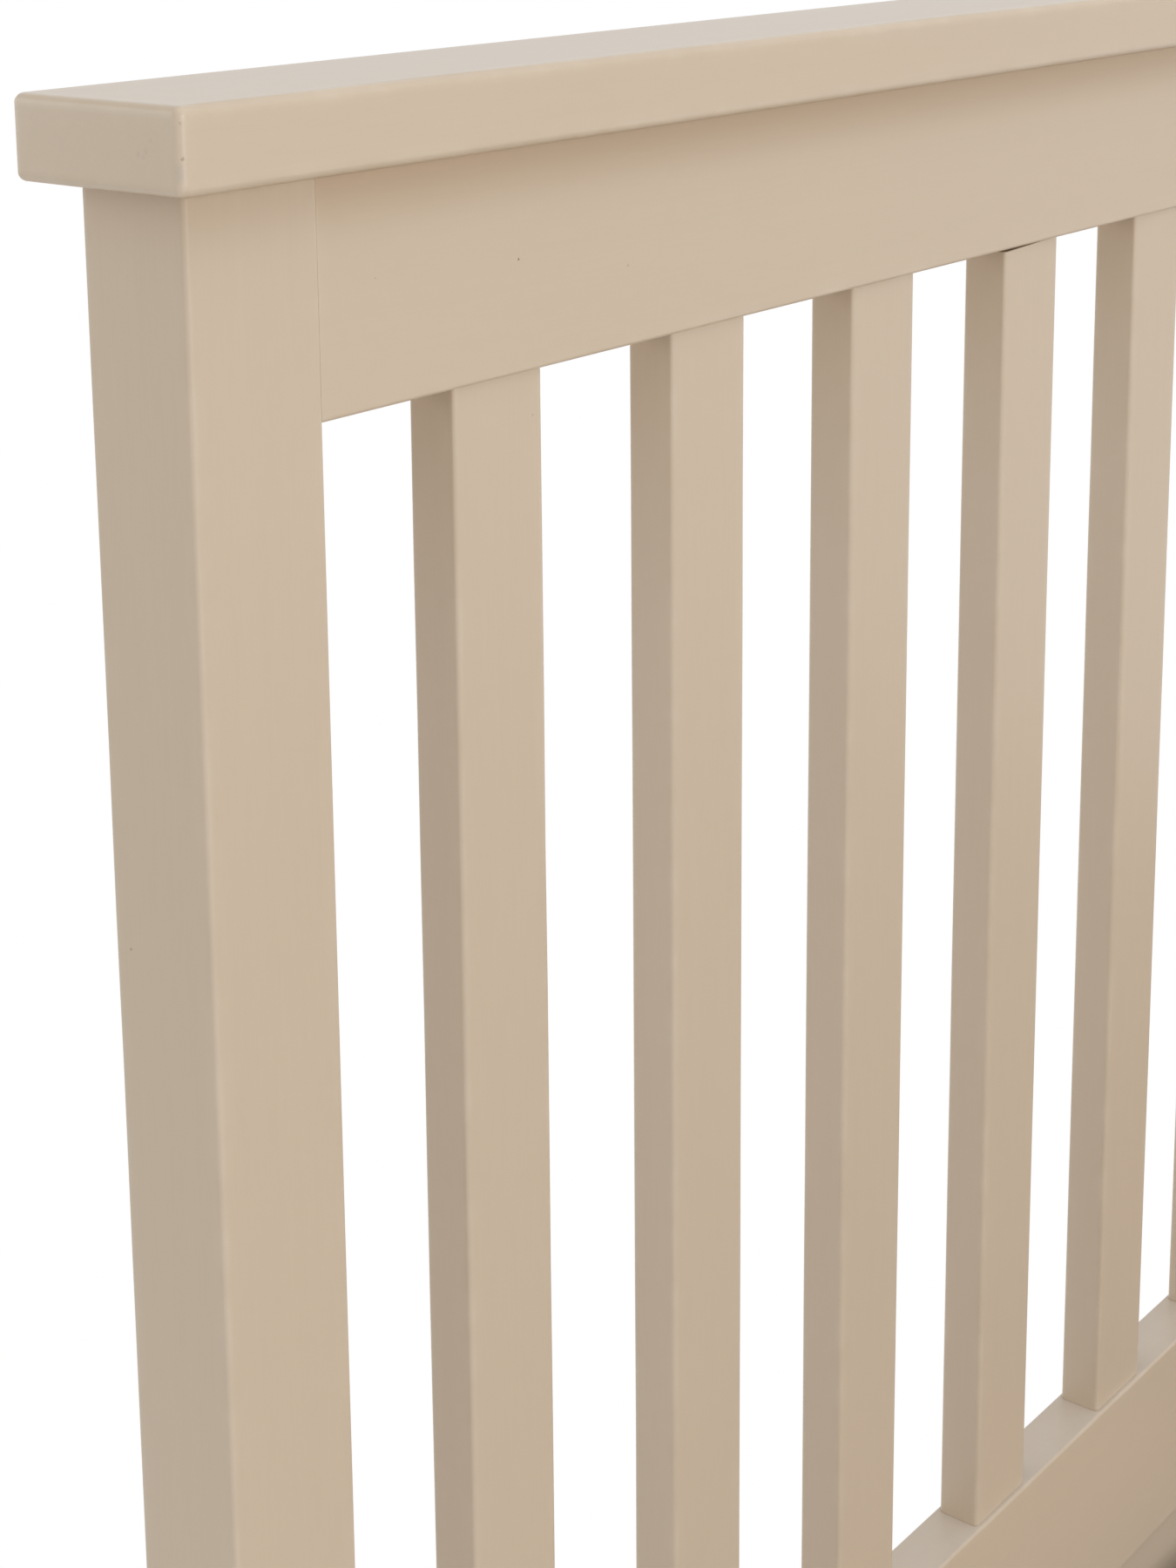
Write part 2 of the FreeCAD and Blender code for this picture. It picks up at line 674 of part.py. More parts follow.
def make_storage_box():
    """Side rails, floor ledges, centre beam, floor panels, feet and bumpers."""
    for side, name in SIDES:
        save("side_rail_" + name, side_rail(side))
        xs = (side * floor_clearance / 2, side * (rail_inner_x - floor_clearance))
        ys = (floor_clearance - half_length, half_length - floor_clearance)
        save("storage_floor_" + name, box(xs, ys, (ledge_top, floor_top)))
    ledge_xs = (rail_inner_x - ledge_width, rail_inner_x)
    ledges = [box([s * x for x in ledge_xs], (-half_length, half_length), (rail_floor_gap, ledge_top))
              for s in (LEFT, RIGHT)]
    save("floor_ledges", ledges)
    save("centre_floor_beam", box((-beam_width / 2, beam_width / 2), (-half_length, half_length),
                                  (beam_bottom, ledge_top)))
    run = inner_length - foot_end_inset - foot_end_inset
    feet_ys = [foot_end_inset - half_length + run * i / (foot_count - 1) for i in range(foot_count)]
    save("beam_feet", [Part.makeCylinder(foot_radius, beam_bottom, FreeCAD.Vector(0, y, 0)) for y in feet_ys])
    glide_x = (half_width + post_inner_x) / 2
    glide_y = half_length + post_depth / 2
    glide_spots = [FreeCAD.Vector(s * glide_x, f * glide_y, 0) for s in (LEFT, RIGHT) for f in (-1, 1)]
    save("post_glides", [Part.makeCylinder(glide_radius, glide_thick, spot) for spot in glide_spots])
    corners = [(s, f, z) for s in (LEFT, RIGHT) for f in (-1, 1) for z in bolt_levels()]
    save("bed_bolts", [bed_bolt(*corner) for corner in corners])
    save("barrel_nuts", [barrel_nut(*corner) for corner in corners])
    save("platform_bumpers", [bumper(side) for side in (LEFT, RIGHT)])


def make_lift_hinges():
    """Hinge plates, pins, arms and gas struts of both sides."""
    for side, name in SIDES:
        save("hinge_plate_" + name, hinge_plate(side))
        long_ends = (base_spot(long_arm_base), top_spot(long_arm_top))
        save("long_arm_" + name, arm(side, long_arm_outer_x, *long_ends, pin_clearance, pin_clearance))
        short_ends = (base_spot(short_arm_base), top_spot(short_arm_top))
        save("short_arm_" + name, arm(side, short_arm_outer_x, *short_ends, pin_clearance, loose_clearance))
        save("strut_cylinder_" + name, strut_cylinder(side))
        save("strut_rod_" + name, strut_rod(side))
    save("hinge_screws", [hinge_screw(s, place) for s in (LEFT, RIGHT) for place in plate_screw_spots()])
    save("hinge_pins", base_pins(LEFT) + base_pins(RIGHT))


def make_platform():
    """The lifting platform: tubes, brackets, sprung slats, stop bar and strap."""
    ys = (platform_foot_y, platform_head_y)
    zs = (platform_height, tube_top)
    for side, name in SIDES:
        save("platform_tube_" + name, tube((side * tube_inner_x, side * tube_outer_x), ys, zs, Y_AXIS))
    across = (-tube_inner_x, tube_inner_x)
    save("platform_tube_head", tube(across, (platform_head_y - tube_size, platform_head_y), zs, X_AXIS))
    save("platform_tube_foot", tube(across, (platform_foot_y, platform_foot_y + tube_size), zs, X_AXIS))
    middle = (platform_foot_y + tube_size, platform_head_y - tube_size)
    save("platform_tube_middle", tube((-tube_size / 2, tube_size / 2), middle, zs, Y_AXIS))
    save("platform_brackets", [platform_bracket(side) for side in (LEFT, RIGHT)])
    screws = [strap_screw(side) for side in (LEFT, RIGHT)]
    save("platform_pins", top_pins(LEFT) + top_pins(RIGHT) + screws)
    rows = spring_slat_places()
    save("sprung_slats", [spring_slat(side, y) for y in rows for side in (LEFT, RIGHT)])
    save("slat_holders", [holder for y in rows for holder in slat_holders(y)])
    save("mattress_stop_bar", stop_bar())
    save("lift_strap", lift_strap())


os.makedirs("parts", exist_ok=True)
make_headboard()
make_footboard()
make_storage_box()
make_lift_hinges()
make_platform()
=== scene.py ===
# %% [markdown]
# # An ottoman bed in painted timber
# The packed model gives every solid of the bed at its real size and place. This lesson dresses
# it: boards with softened arrises under satin paint, a lifting platform of powder-coated tube with
# sprung beech slats, and plated hinges with gas struts. Nothing in the packed model is moved.

import math

import bpy
import numpy as np
from mathutils import Matrix, Vector


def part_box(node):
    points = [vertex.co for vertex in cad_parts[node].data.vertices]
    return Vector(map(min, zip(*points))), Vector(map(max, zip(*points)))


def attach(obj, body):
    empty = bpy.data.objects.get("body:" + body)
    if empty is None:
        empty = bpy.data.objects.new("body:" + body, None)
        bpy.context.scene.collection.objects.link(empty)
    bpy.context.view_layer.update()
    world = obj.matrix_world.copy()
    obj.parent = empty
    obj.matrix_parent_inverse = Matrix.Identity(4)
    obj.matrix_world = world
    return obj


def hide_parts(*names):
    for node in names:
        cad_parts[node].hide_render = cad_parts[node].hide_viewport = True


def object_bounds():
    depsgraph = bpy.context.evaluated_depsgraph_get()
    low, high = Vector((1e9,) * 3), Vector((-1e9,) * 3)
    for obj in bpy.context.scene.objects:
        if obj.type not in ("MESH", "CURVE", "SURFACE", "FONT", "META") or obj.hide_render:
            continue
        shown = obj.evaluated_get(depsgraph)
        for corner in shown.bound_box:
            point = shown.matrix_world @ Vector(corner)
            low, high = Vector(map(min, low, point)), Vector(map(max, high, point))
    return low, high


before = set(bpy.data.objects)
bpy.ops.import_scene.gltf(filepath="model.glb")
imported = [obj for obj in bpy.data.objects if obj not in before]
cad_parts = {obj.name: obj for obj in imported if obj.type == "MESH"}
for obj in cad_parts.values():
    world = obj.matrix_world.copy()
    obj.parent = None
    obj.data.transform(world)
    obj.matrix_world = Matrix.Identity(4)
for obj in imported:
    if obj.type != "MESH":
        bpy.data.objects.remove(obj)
cad_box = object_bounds()
print("packed bed:", len(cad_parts), "nodes, size", [round(b - a, 4) for a, b in zip(*cad_box)])

# %% [markdown]
# ## The camera
# The view stands close to the tall end's left corner, a little above its cap, and looks along the
# slats. A lens set low in its frame keeps the uprights nearly upright; a tilted camera would make
# them lean. The lens is shifted only as far as the whole bed still fits the same camera elsewhere.

# %% Place the camera
IMAGE_HEIGHT = 1800
FOCAL_PIXELS = 3085.0
SENSOR_LONG_SIDE = 36.0
VIEW_POINT = (-1.15335, 0.50157, 1.12389)
VIEW_YAW, VIEW_PITCH, VIEW_ROLL = (math.radians(a) for a in (51.39, 11.67, 0.49))
LENS_SHIFT = -0.26
NEAR_CLIP = 0.02


def view_axes(yaw, pitch, roll):
    """Right, up and backward axes of a camera: yaw turns it from +Y towards +X, pitch tips it
    down, and roll turns the right axis towards the picture's bottom edge."""
    flat = math.cos(pitch)
    forward = np.array((math.sin(yaw) * flat, math.cos(yaw) * flat, -math.sin(pitch)))
    level = np.array((math.cos(yaw), -math.sin(yaw), 0.0))
    down = np.cross(forward, level)
    right = math.cos(roll) * level + math.sin(roll) * down
    up = math.sin(roll) * level - math.cos(roll) * down
    return np.stack([right, up, -forward], axis=1)


def place_camera():
    """A perspective camera at the view point, with its long side as the sensor's width."""
    data = bpy.data.cameras.new("corner_view")
    data.sensor_width = SENSOR_LONG_SIDE
    data.lens = FOCAL_PIXELS * SENSOR_LONG_SIDE / IMAGE_HEIGHT
    data.shift_y = LENS_SHIFT
    data.clip_start = NEAR_CLIP
    camera = bpy.data.objects.new("corner_view", data)
    turned = np.eye(4)
    turned[:3, :3] = view_axes(VIEW_YAW, VIEW_PITCH, VIEW_ROLL)
    turned[:3, 3] = VIEW_POINT
    camera.matrix_world = Matrix(turned)
    bpy.context.scene.collection.objects.link(camera)
    bpy.context.scene.camera = camera
    return camera


camera = place_camera()
print("camera: lens %.2f mm, shift %.3f" % (camera.data.lens, camera.data.shift_y))

# %% [markdown]
# ## Shader arithmetic
# A finish is a sum of small patterns, and node trees for sums are hard to read when they are
# built node by node. The small class below wraps an output socket, so that an expression such as
# `1 - mask * 0.3` adds the Math nodes by itself. One method adds every other kind of node. A second
# class holds a material: what its patterns start from, and the shader that they end in.

# %% The wire class
class Wire:
    """An output socket of a node tree. Arithmetic on wires and numbers adds Math nodes."""

    def __init__(self, tree, socket=None):
        self.tree = tree
        self.socket = socket

    def add(self, kind, settings=None, inputs=None, output=0):
        """Adds a node: its settings come first, then each input gets a value or a link."""
        made = self.tree.nodes.new("ShaderNode" + kind)
        for name, value in (settings or {}).items():
            setattr(made, name, value)
        for name, value in (inputs or {}).items():
            if isinstance(value, Wire):
                self.tree.links.new(value.socket, made.inputs[name])
            else:
                made.inputs[name].default_value = value
        return Wire(self.tree, made.outputs[output])

    def math(self, operation, *values):
        """One Math node on wires and numbers."""
        return self.add("Math", {"operation": operation}, dict(enumerate(values)))

    def vector(self, operation, *values, output=0):
        """One Vector Math node on wires and plain vectors."""
        return self.add("VectorMath", {"operation": operation}, dict(enumerate(values)), output)

    def __add__(self, other):
        return self.math("ADD", self, other)

    def __sub__(self, other):
        return self.math("SUBTRACT", self, other)

    def __rsub__(self, other):
        return self.math("SUBTRACT", other, self)

    def __mul__(self, other):
        return self.math("MULTIPLY", self, other)

    __radd__ = __add__
    __rmul__ = __mul__

    def step(self, start, stop):
        """0 before start, 1 after stop, and a smooth rise between them."""
        inputs = {"Value": self, "From Min": start, "From Max": stop}
        return self.add("MapRange", {"interpolation_type": "SMOOTHSTEP"}, inputs)

    def stretch(self, scale):
        """A vector wire with each axis multiplied by its own scale."""
        return self.vector("MULTIPLY", self, scale)

    def noise(self, scale, detail=2.0, roughness=0.5, distortion=0.0):
        """Cloudy noise on this vector, about 0 to 1, with scale features per metre."""
        inputs = {"Vector": self, "Scale": scale, "Detail": detail,
                  "Roughness": roughness, "Distortion": distortion}
        return self.add("TexNoise", None, inputs)

    def cells(self, scale, output="Distance"):
        """Cells scattered over this vector: the distance to each one's middle, or its colour."""
        return self.add("TexVoronoi", None, {"Vector": self, "Scale": scale}, output)

    def wander(self, scale, reach):
        """This position, moved about by cloudy noise by up to half of reach each way."""
        cloud = self.add("TexNoise", None, {"Vector": self, "Scale": scale}, "Color")
        centred = self.vector("SUBTRACT", cloud, (0.5, 0.5, 0.5))
        return self.vector("MULTIPLY_ADD", centred, (reach,) * 3, self)

    def reach(self, point):
        """Distance of this position from a fixed point, in metres."""
        return self.vector("DISTANCE", self, point, output="Value")


print("a wire can", [name for name in vars(Wire) if not name.startswith("_")])

# %% Colours and finishes
# A Mix node has sockets for every type of value, so those for colours are found by their number.
MIX_SHARE, MIX_FIRST, MIX_SECOND, MIX_COLOUR = 0, 6, 7, 2


def mixed(first, second, share, wire, kind="MIX"):
    """One Mix node on two colours."""
    inputs = {MIX_SHARE: share, MIX_FIRST: first, MIX_SECOND: second}
    return wire.add("Mix", {"data_type": "RGBA", "blend_type": kind}, inputs, MIX_COLOUR)


def blend(first, second, share):
    """Mixes two colours, plain or wired, by a wire that runs from 0 to 1."""
    colours = [c if isinstance(c, Wire) else (*c, 1.0) for c in (first, second)]
    return mixed(*colours, share, share)


def shade(colour, factor):
    """Multiplies a colour by a value wire, for lighter and darker places of one tone."""
    grey = factor.add("CombineColor", None, {0: factor, 1: factor, 2: factor})
    return mixed(colour, grey, 1.0, factor, "MULTIPLY")


class Finish:
    """A material with one Principled shader, its Object coordinates and its point marks."""

    def __init__(self, name):
        self.material = bpy.data.materials.new(name)
        self.material.use_nodes = True
        self.tree = self.material.node_tree
        self.shader = self.tree.nodes["Principled BSDF"]
        self.start = Wire(self.tree)
        self.place = self.start.add("TexCoord", output="Object")

    def mark(self, name):
        """A value that the piece carries on its points."""
        return self.start.add("Attribute", {"attribute_name": name}, output="Fac")

    def bump(self, height, depth):
        """A normal that follows a height wire, whose rise from 0 to 1 is depth metres."""
        return self.start.add("Bump", None, {"Height": height, "Distance": depth, "Strength": 1.0})

    def set(self, **sockets):
        """Links wires and sets plain values on the shader, with _ for a space in a socket's name."""
        for name, value in sockets.items():
            socket = self.shader.inputs[name.replace("_", " ")]
            if isinstance(value, Wire):
                self.tree.links.new(value.socket, socket)
            else:
                socket.default_value = value
        return self.material


print("finishes can be mixed;", len(bpy.data.materials), "plain materials came with the pack")

# %% [markdown]
# ## World, floor and lamps
# The bed stands in plain soft light. Half of it comes evenly from the world, as in a white room;
# a broad box far in front of the headboard lights its face, and weaker ones overhead and behind give
# the tops and the back some shape. Rays that go straight from the camera, or off a shiny surface, meet
# plain white, so the background is white with no extra light on the bed.

# %% Light the world
WHITE = (1.0, 1.0, 1.0, 1.0)
AMBIENT = 0.57


def direct_rays(wire):
    """1 for rays that come straight from the camera or off a mirror or glass, 0 for the rest."""
    kinds = ("Is Camera Ray", "Is Glossy Ray", "Is Transmission Ray")
    rays = [wire.add("LightPath", output=kind) for kind in kinds]
    return wire.math("MAXIMUM", wire.math("MAXIMUM", rays[0], rays[1]), rays[2])


def build_world():
    """White to direct rays, and a grey of the ambient level to everything that it lights."""
    world = bpy.data.worlds.new("studio")
    world.use_nodes = True
    level = direct_rays(Wire(world.node_tree)) * (1.0 - AMBIENT) + AMBIENT
    background = world.node_tree.nodes["Background"]
    background.inputs["Color"].default_value = WHITE
    world.node_tree.links.new(level.socket, background.inputs["Strength"])
    bpy.context.scene.world = world


build_world()
print("world: ambient level", AMBIENT)

# %% Lay the floor
FLOOR_HALF = 9.0
FLOOR_TONE, FLOOR_ROUGHNESS = (0.92, 0.92, 0.92, 1.0), 0.9
SHADOW_REACH, SHADOW_SHARE = 0.30, 0.55
ORIGIN = (0.0, 0.0, 0.0)


def build_floor():
    """A wide pale floor. Past the reach of the bed's shadow it is plain white when seen directly, and
    nearer it shows a share of its own shade. The distance from the bed is the length of what is left
    of a place's x and y, without their signs, once the bed's half width and half length are off."""
    mesh = bpy.data.meshes.new("studio_floor")
    corners = np.array([(-1, -1, 0), (1, -1, 0), (1, 1, 0), (-1, 1, 0)]) * FLOOR_HALF
    mesh.from_pydata(corners.tolist(), [], [(0, 1, 2, 3)])
    floor = bpy.data.objects.new("studio_floor", mesh)
    bpy.context.scene.collection.objects.link(floor)
    finish = Finish("studio_floor")
    finish.set(Base_Color=FLOOR_TONE, Roughness=FLOOR_ROUGHNESS, Specular_IOR_Level=0.0)
    unsigned = finish.start.vector("ABSOLUTE", finish.place)
    past = finish.start.vector("SUBTRACT", unsigned, tuple(cad_box[1]))
    past = finish.start.vector("MAXIMUM", past, ORIGIN)
    far = past.reach(ORIGIN).step(0.0, SHADOW_REACH)
    glow = finish.start.add("Emission", None, {"Color": WHITE, "Strength": 1.0})
    lit = Wire(finish.tree, finish.shader.outputs[0])
    share = (far * SHADOW_SHARE + (1 - SHADOW_SHARE)) * direct_rays(finish.start)
    seen = glow.add("MixShader", None, {0: share, 1: lit, 2: glow})
    finish.tree.links.new(seen.socket, finish.tree.nodes["Material Output"].inputs["Surface"])
    mesh.materials.append(finish.material)


build_floor()
print("floor: the shadow fades over %.2f m" % SHADOW_REACH)

# %% Hang the lamps
LAMPS = {
    "overhead_box": dict(at=(-0.3, -0.1, 3.4), to=(-0.1, 0.2, 0.0), size=(3.4, 3.0), watts=25.0),
    "front_box": dict(at=(-1.2, -9.0, 2.0), to=(-0.1, 0.9, 0.7), size=(5.0, 3.2), watts=430.0),
    "back_box": dict(at=(-2.2, 4.0, 1.6), to=(-0.2, 0.8, 0.6), size=(2.4, 1.8), watts=35.0),
}


def hang_lamp(name, at, to, size, watts):
    """A rectangular area lamp at one point that faces another."""
    data = bpy.data.lights.new(name, "AREA")
    data.shape = "RECTANGLE"
    data.size, data.size_y = size
    data.energy = watts
    lamp = bpy.data.objects.new(name, data)
    lamp.location = at
    lamp.rotation_euler = (Vector(to) - Vector(at)).to_track_quat("-Z", "Y").to_euler()
    lamp.visible_camera = False
    bpy.context.scene.collection.objects.link(lamp)


for name, settings in LAMPS.items():
    hang_lamp(name, **settings)
bpy.context.scene.view_settings.view_transform = "Standard"
print("lamps:", ["%s %.0f W" % (name, settings["watts"]) for name, settings in LAMPS.items()])

# %% [markdown]
# ## The stone paint
# The timber is sprayed with a satin paint of a warm stone colour. Up close it isn't flat: the coat
# has a fine stipple, the grain of the wood below shows as faint long streaks, and the tone drifts a
# little over a board. Along each arris the paint is paler, partly as thin paint and partly as a
# painted highlight, and faces that look up get a paler painted sheen. Close under the cap, and on the
# slats' sides near their tops, the paint is darker and warmer as painted shade. A few dust specks are
# caught in the paint, and the cap's corner is knocked. Each of these is a small pattern here. The
# grain has to run along the board, so the same finish is made once for each direction.

# %% Mix the paint
ACROSS, ALONG, UPRIGHT = range(3)
# The paint's colour, a paler one that is partly thin paint and partly painted highlight, and a darker
# one for joints and painted shade.
STONE, STONE_THIN_HIGHLIGHT, STONE_SHADOW = (0.552, 0.449, 0.339), (0.640, 0.548, 0.436), (0.420, 0.285, 0.165)
# A pale grey that paints a sheen on faces that look up, and the colour of dust specks.
TOP_SHEEN, SPECK = (0.750, 0.750, 0.750), (0.130, 0.090, 0.060)
GRAIN_LONG, GRAIN_ACROSS = 9.0, 260.0
PORES_LONG, PORES_ACROSS = 45.0, 1150.0
DRIFT_SCALE, CLOUD_SCALE, THIN_HIGHLIGHT_SCALE, MOTTLE_SCALE = 1.7, 5.0, 60.0, 110.0
STIPPLE_SCALE, STIPPLE_DEPTH = 950.0, 0.00004
SPECK_SCALE, SPECK_RADII = 24.0, (0.006, 0.013)
SPECK_RARE = (0.88, 0.90)
RAGGED_SCALE, RAGGED_REACH, FLAW_CORE = 1500.0, 0.0014, 0.2
# Shares of the paler arrises, the darker joints, the painted shade on slats' sides, and the specks.
THIN_HIGHLIGHT_SHARE, SEAM_SHARE, SIDE_SHADE_SHARE, SPECK_SHARE = 0.30, 0.3, 0.4, 0.7
# How far below the cap its painted shade reaches, and the step at the cap's underside.
UNDER_CAP_SHADE_REACH, CAP_STEP = 0.022, 0.001
SATIN = 0.3
cap_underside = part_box("headboard_cap_rail")[0].z


def stone_paint(direction, shelter, flaws):
    """Satin paint over timber whose grain runs along one axis. Close under the tall cap the colour is
    darkened by the given share as painted shade, and marked slat sides get painted shade too. Each flaw
    is a (point, radius, tall, colour, share) spot with a ragged edge, which is tall times as high as it
    is wide."""
    paint = Finish("stone_paint_" + "xyz"[direction])
    grain, pores = [GRAIN_ACROSS] * 3, [PORES_ACROSS] * 3
    grain[direction], pores[direction] = GRAIN_LONG, PORES_LONG
    streaks = paint.place.stretch(grain).noise(1.0, detail=3.0, roughness=0.6)
    hairs = paint.place.stretch(pores).noise(1.0, detail=2.0, roughness=0.6)
    clouds = paint.place.noise(CLOUD_SCALE, detail=2.0)
    mottle = paint.place.noise(MOTTLE_SCALE, detail=3.0, roughness=0.6)
    drift = paint.place.noise(DRIFT_SCALE, detail=1.0)
    stipple = paint.place.noise(STIPPLE_SCALE, detail=1.0)
    arris = paint.mark("arris")
    # Arrises are paler: partly thin paint, partly a painted highlight.
    thin_highlight = arris * paint.place.noise(THIN_HIGHLIGHT_SCALE, detail=3.0).step(0.30, 0.80)
    level = paint.start.add("SeparateXYZ", None, {0: paint.place}, "Z")
    # A band close under the cap gets painted shade.
    below = 1 - level.step(cap_underside, cap_underside + CAP_STEP)
    under_cap_shade = level.step(cap_underside - UNDER_CAP_SHADE_REACH, cap_underside) * below
    chosen = paint.place.cells(SPECK_SCALE, "Color").step(*SPECK_RARE)
    speck = (1 - paint.place.cells(SPECK_SCALE).step(*SPECK_RADII)) * chosen
    tone = 0.930 + 0.030 * streaks + 0.035 * hairs + 0.035 * clouds + 0.020 * mottle + 0.020 * drift
    colour = blend(STONE, STONE_THIN_HIGHLIGHT, thin_highlight * THIN_HIGHLIGHT_SHARE)
    # Faces that look up get a painted sheen.
    colour = blend(colour, TOP_SHEEN, paint.mark("upward") * (0.16 + 0.08 * mottle))
    colour = blend(colour, STONE_SHADOW, paint.mark("seam") * SEAM_SHARE)
    colour = blend(colour, STONE_SHADOW, under_cap_shade * shelter)
    # Slats' sides get painted shade near their tops.
    colour = blend(colour, STONE_SHADOW, paint.mark("shelter") * SIDE_SHADE_SHARE)
    colour = blend(shade(colour, tone), SPECK, speck * SPECK_SHARE)
    ragged = paint.place.wander(RAGGED_SCALE, RAGGED_REACH)
    for point, radius, tall, mark, share in flaws:
        squat = np.array((1.0, 1.0, 1 / tall))
        off = ragged.stretch(squat).reach(squat * point)
        colour = blend(colour, mark, (1 - off.step(radius * FLAW_CORE, radius)) * share)
    rough = 0.30 + 0.08 * clouds + 0.06 * hairs - 0.04 * arris
    height = stipple * 0.4 + streaks * 0.3 + hairs * 0.5 - speck
    return paint.set(Base_Color=colour, Roughness=rough, Normal=paint.bump(height, STIPPLE_DEPTH),
                     Specular_IOR_Level=SATIN)


print("paint: stone", STONE, "over grain of", GRAIN_ACROSS, "streaks per metre")

# %% Place its flaws
PRIMER, SCUFF = (0.450, 0.410, 0.360), (0.330, 0.265, 0.195)
CORNER_KNOCKS = [
    (0.0009, 0.0006, 0.0040, 0.0007, 1.0, SCUFF, 0.40),
    (0.0010, 0.0005, 0.0124, 0.0007, 1.0, SCUFF, 0.80),
    (0.0006, 0.0009, 0.0158, 0.0012, 2.9, PRIMER, 0.45),
]
END_SCUFFS = [
    (0.0, 0.0119, 0.0113, 0.0011, 1.0, SCUFF, 0.18),
    (0.0, 0.0127, 0.0126, 0.0009, 1.0, SCUFF, 0.16),
    (0.0, 0.0144, 0.0120, 0.0012, 1.0, SCUFF, 0.18),
    (0.0, 0.0102, 0.0086, 0.0008, 1.0, SCUFF, 0.14),
]
RAIL_SPECKS = [
    (0.0791, 0.0, 0.0328, 0.0006, 1.0, SPECK, 1.0),
    (0.1286, 0.0, 0.0410, 0.0006, 1.0, SPECK, 0.35),
    (0.0210, 0.0, 0.0300, 0.0005, 1.0, SPECK, 0.45),
]
SLAT_SPECKS = [(0.0335, 0.0, 0.0134, 0.0006, 1.0, SPECK, 0.4)]
POST_SPECKS = [(0.0, 0.0310, 0.2016, 0.0007, 1.0, SPECK, 0.4)]
# How much painted shade under the cap the boards of each direction get.
UNDER_CAP_SHADE = {ACROSS: 0.55, ALONG: 0.0, UPRIGHT: 0.25}


def flaws_on(node, rows):
    """The flaws of one board. A row starts with how far in from the board's left end, back from its
    front and down from its top the flaw lies; its radius, tallness, colour and share follow."""
    low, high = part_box(node)
    return [((low.x + left, low.y + back, high.z - down), *spot) for left, back, down, *spot in rows]


flaws = {ACROSS: flaws_on("headboard_cap_rail", CORNER_KNOCKS + END_SCUFFS), ALONG: [],
         UPRIGHT: flaws_on("headboard_slat_01", SLAT_SPECKS)}
flaws[ACROSS] += flaws_on("headboard_top_rail", RAIL_SPECKS)
flaws[UPRIGHT] += flaws_on("headboard_post_left", POST_SPECKS)
paints = {way: stone_paint(way, UNDER_CAP_SHADE[way], flaws[way]) for way in (ACROSS, ALONG, UPRIGHT)}
print("paints:", [p.name for p in paints.values()], "with", sum(map(len, flaws.values())), "flaws")

# %% [markdown]
# ## Surfaces from outlines
# Nearly every piece here is an outline carried along a line: a rounded rectangle for boards and
# tubes, a circle for bars, a profile turned about an axis for bolts and struts. So one grid of
# points with quads between its rings makes them all, and a closed end is zipped up with quads
# between the two halves of its ring. The zip starts in the middle of a rounded corner, because on a
# straight side its first quad would have no area. Arrays hold whole grids, with no loop over points.

# %% Grids and zipped ends
ARC_STEPS = 5
ZIP_START = (ARC_STEPS + 1) // 2


def ring_faces(rings, count, looped=False):
    """Quads between neighbouring closed rings. A looped grid joins its last ring to its first;
    otherwise both end rings are zipped up from corner to corner."""
    row = np.arange(rings if looped else rings - 1)[:, None]
    here = np.arange(count)[None, :]
    there = (here + 1) % count
    this, after = row * count, (row + 1) % rings * count
    quads = np.stack([this + here, this + there, after + there, after + here], axis=-1)
    if looped:
        return quads.reshape(-1, 4)
    half = np.arange(count // 2 - 1)
    zipped = (np.stack([half, half + 1, -2 - half, -1 - half], axis=-1) + ZIP_START) % count
    return np.concatenate([quads.reshape(-1, 4), zipped[:, ::-1], zipped + (rings - 1) * count])


def surface(grid, marks=None, looped=False):
    """A closed surface from a grid of rings: points, quads that face outwards, and point marks.
    The quads are turned round where the volume that they enclose comes out negative."""
    rings, count = grid.shape[:2]
    points = grid.reshape(-1, 3)
    faces = ring_faces(rings, count, looped)
    a, b, c, d = points[faces].transpose(1, 0, 2)
    volume = np.einsum("ij,ij->i", a, np.cross(b, c) + np.cross(c, d)).sum()
    flat = {name: np.broadcast_to(m, (rings, count)).ravel() for name, m in (marks or {}).items()}
    return points, faces if volume > 0 else faces[:, ::-1], flat


def joined(surfaces):
    """Several surfaces as one: points in a row, faces counted on, and marks of 0 where one has none."""
    starts = np.cumsum([0] + [len(points) for points, _, _ in surfaces])
    points = np.concatenate([s[0] for s in surfaces])
    faces = np.concatenate([s[1] + start for s, start in zip(surfaces, starts)])
    names = sorted({name for _, _, marks in surfaces for name in marks})
    marks = {name: np.concatenate([own.get(name, np.zeros(len(ring))) for ring, _, own in surfaces])
             for name in names}
    return points, faces, marks


print("a grid of 3 rings of 8 points has", len(ring_faces(3, 8)), "quads")

# %% Pieces that ride on the bed
def make_piece(name, shape, material, body, slot, *nodes):
    """A smooth mesh object at the origin that rides on a body and stands for packed nodes."""
    points, faces, marks = shape
    mesh = bpy.data.meshes.new(name)
    mesh.from_pydata(points.tolist(), [], faces.tolist())
    mesh.polygons.foreach_set("use_smooth", np.ones(len(mesh.polygons), bool))
    for mark, values in marks.items():
        mesh.attributes.new(mark, "FLOAT", "POINT").data.foreach_set("value", values.astype(np.float32))
    mesh.materials.append(material)
    piece = bpy.data.objects.new(name, mesh)
    bpy.context.scene.collection.objects.link(piece)
    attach(piece, body)
    if nodes:
        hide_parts(*nodes)
    return piece


def dress(material, *nodes):
    """Gives packed nodes whose shape is right a better finish."""
    for node in nodes:
        for material_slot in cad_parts[node].material_slots:
            material_slot.material = material


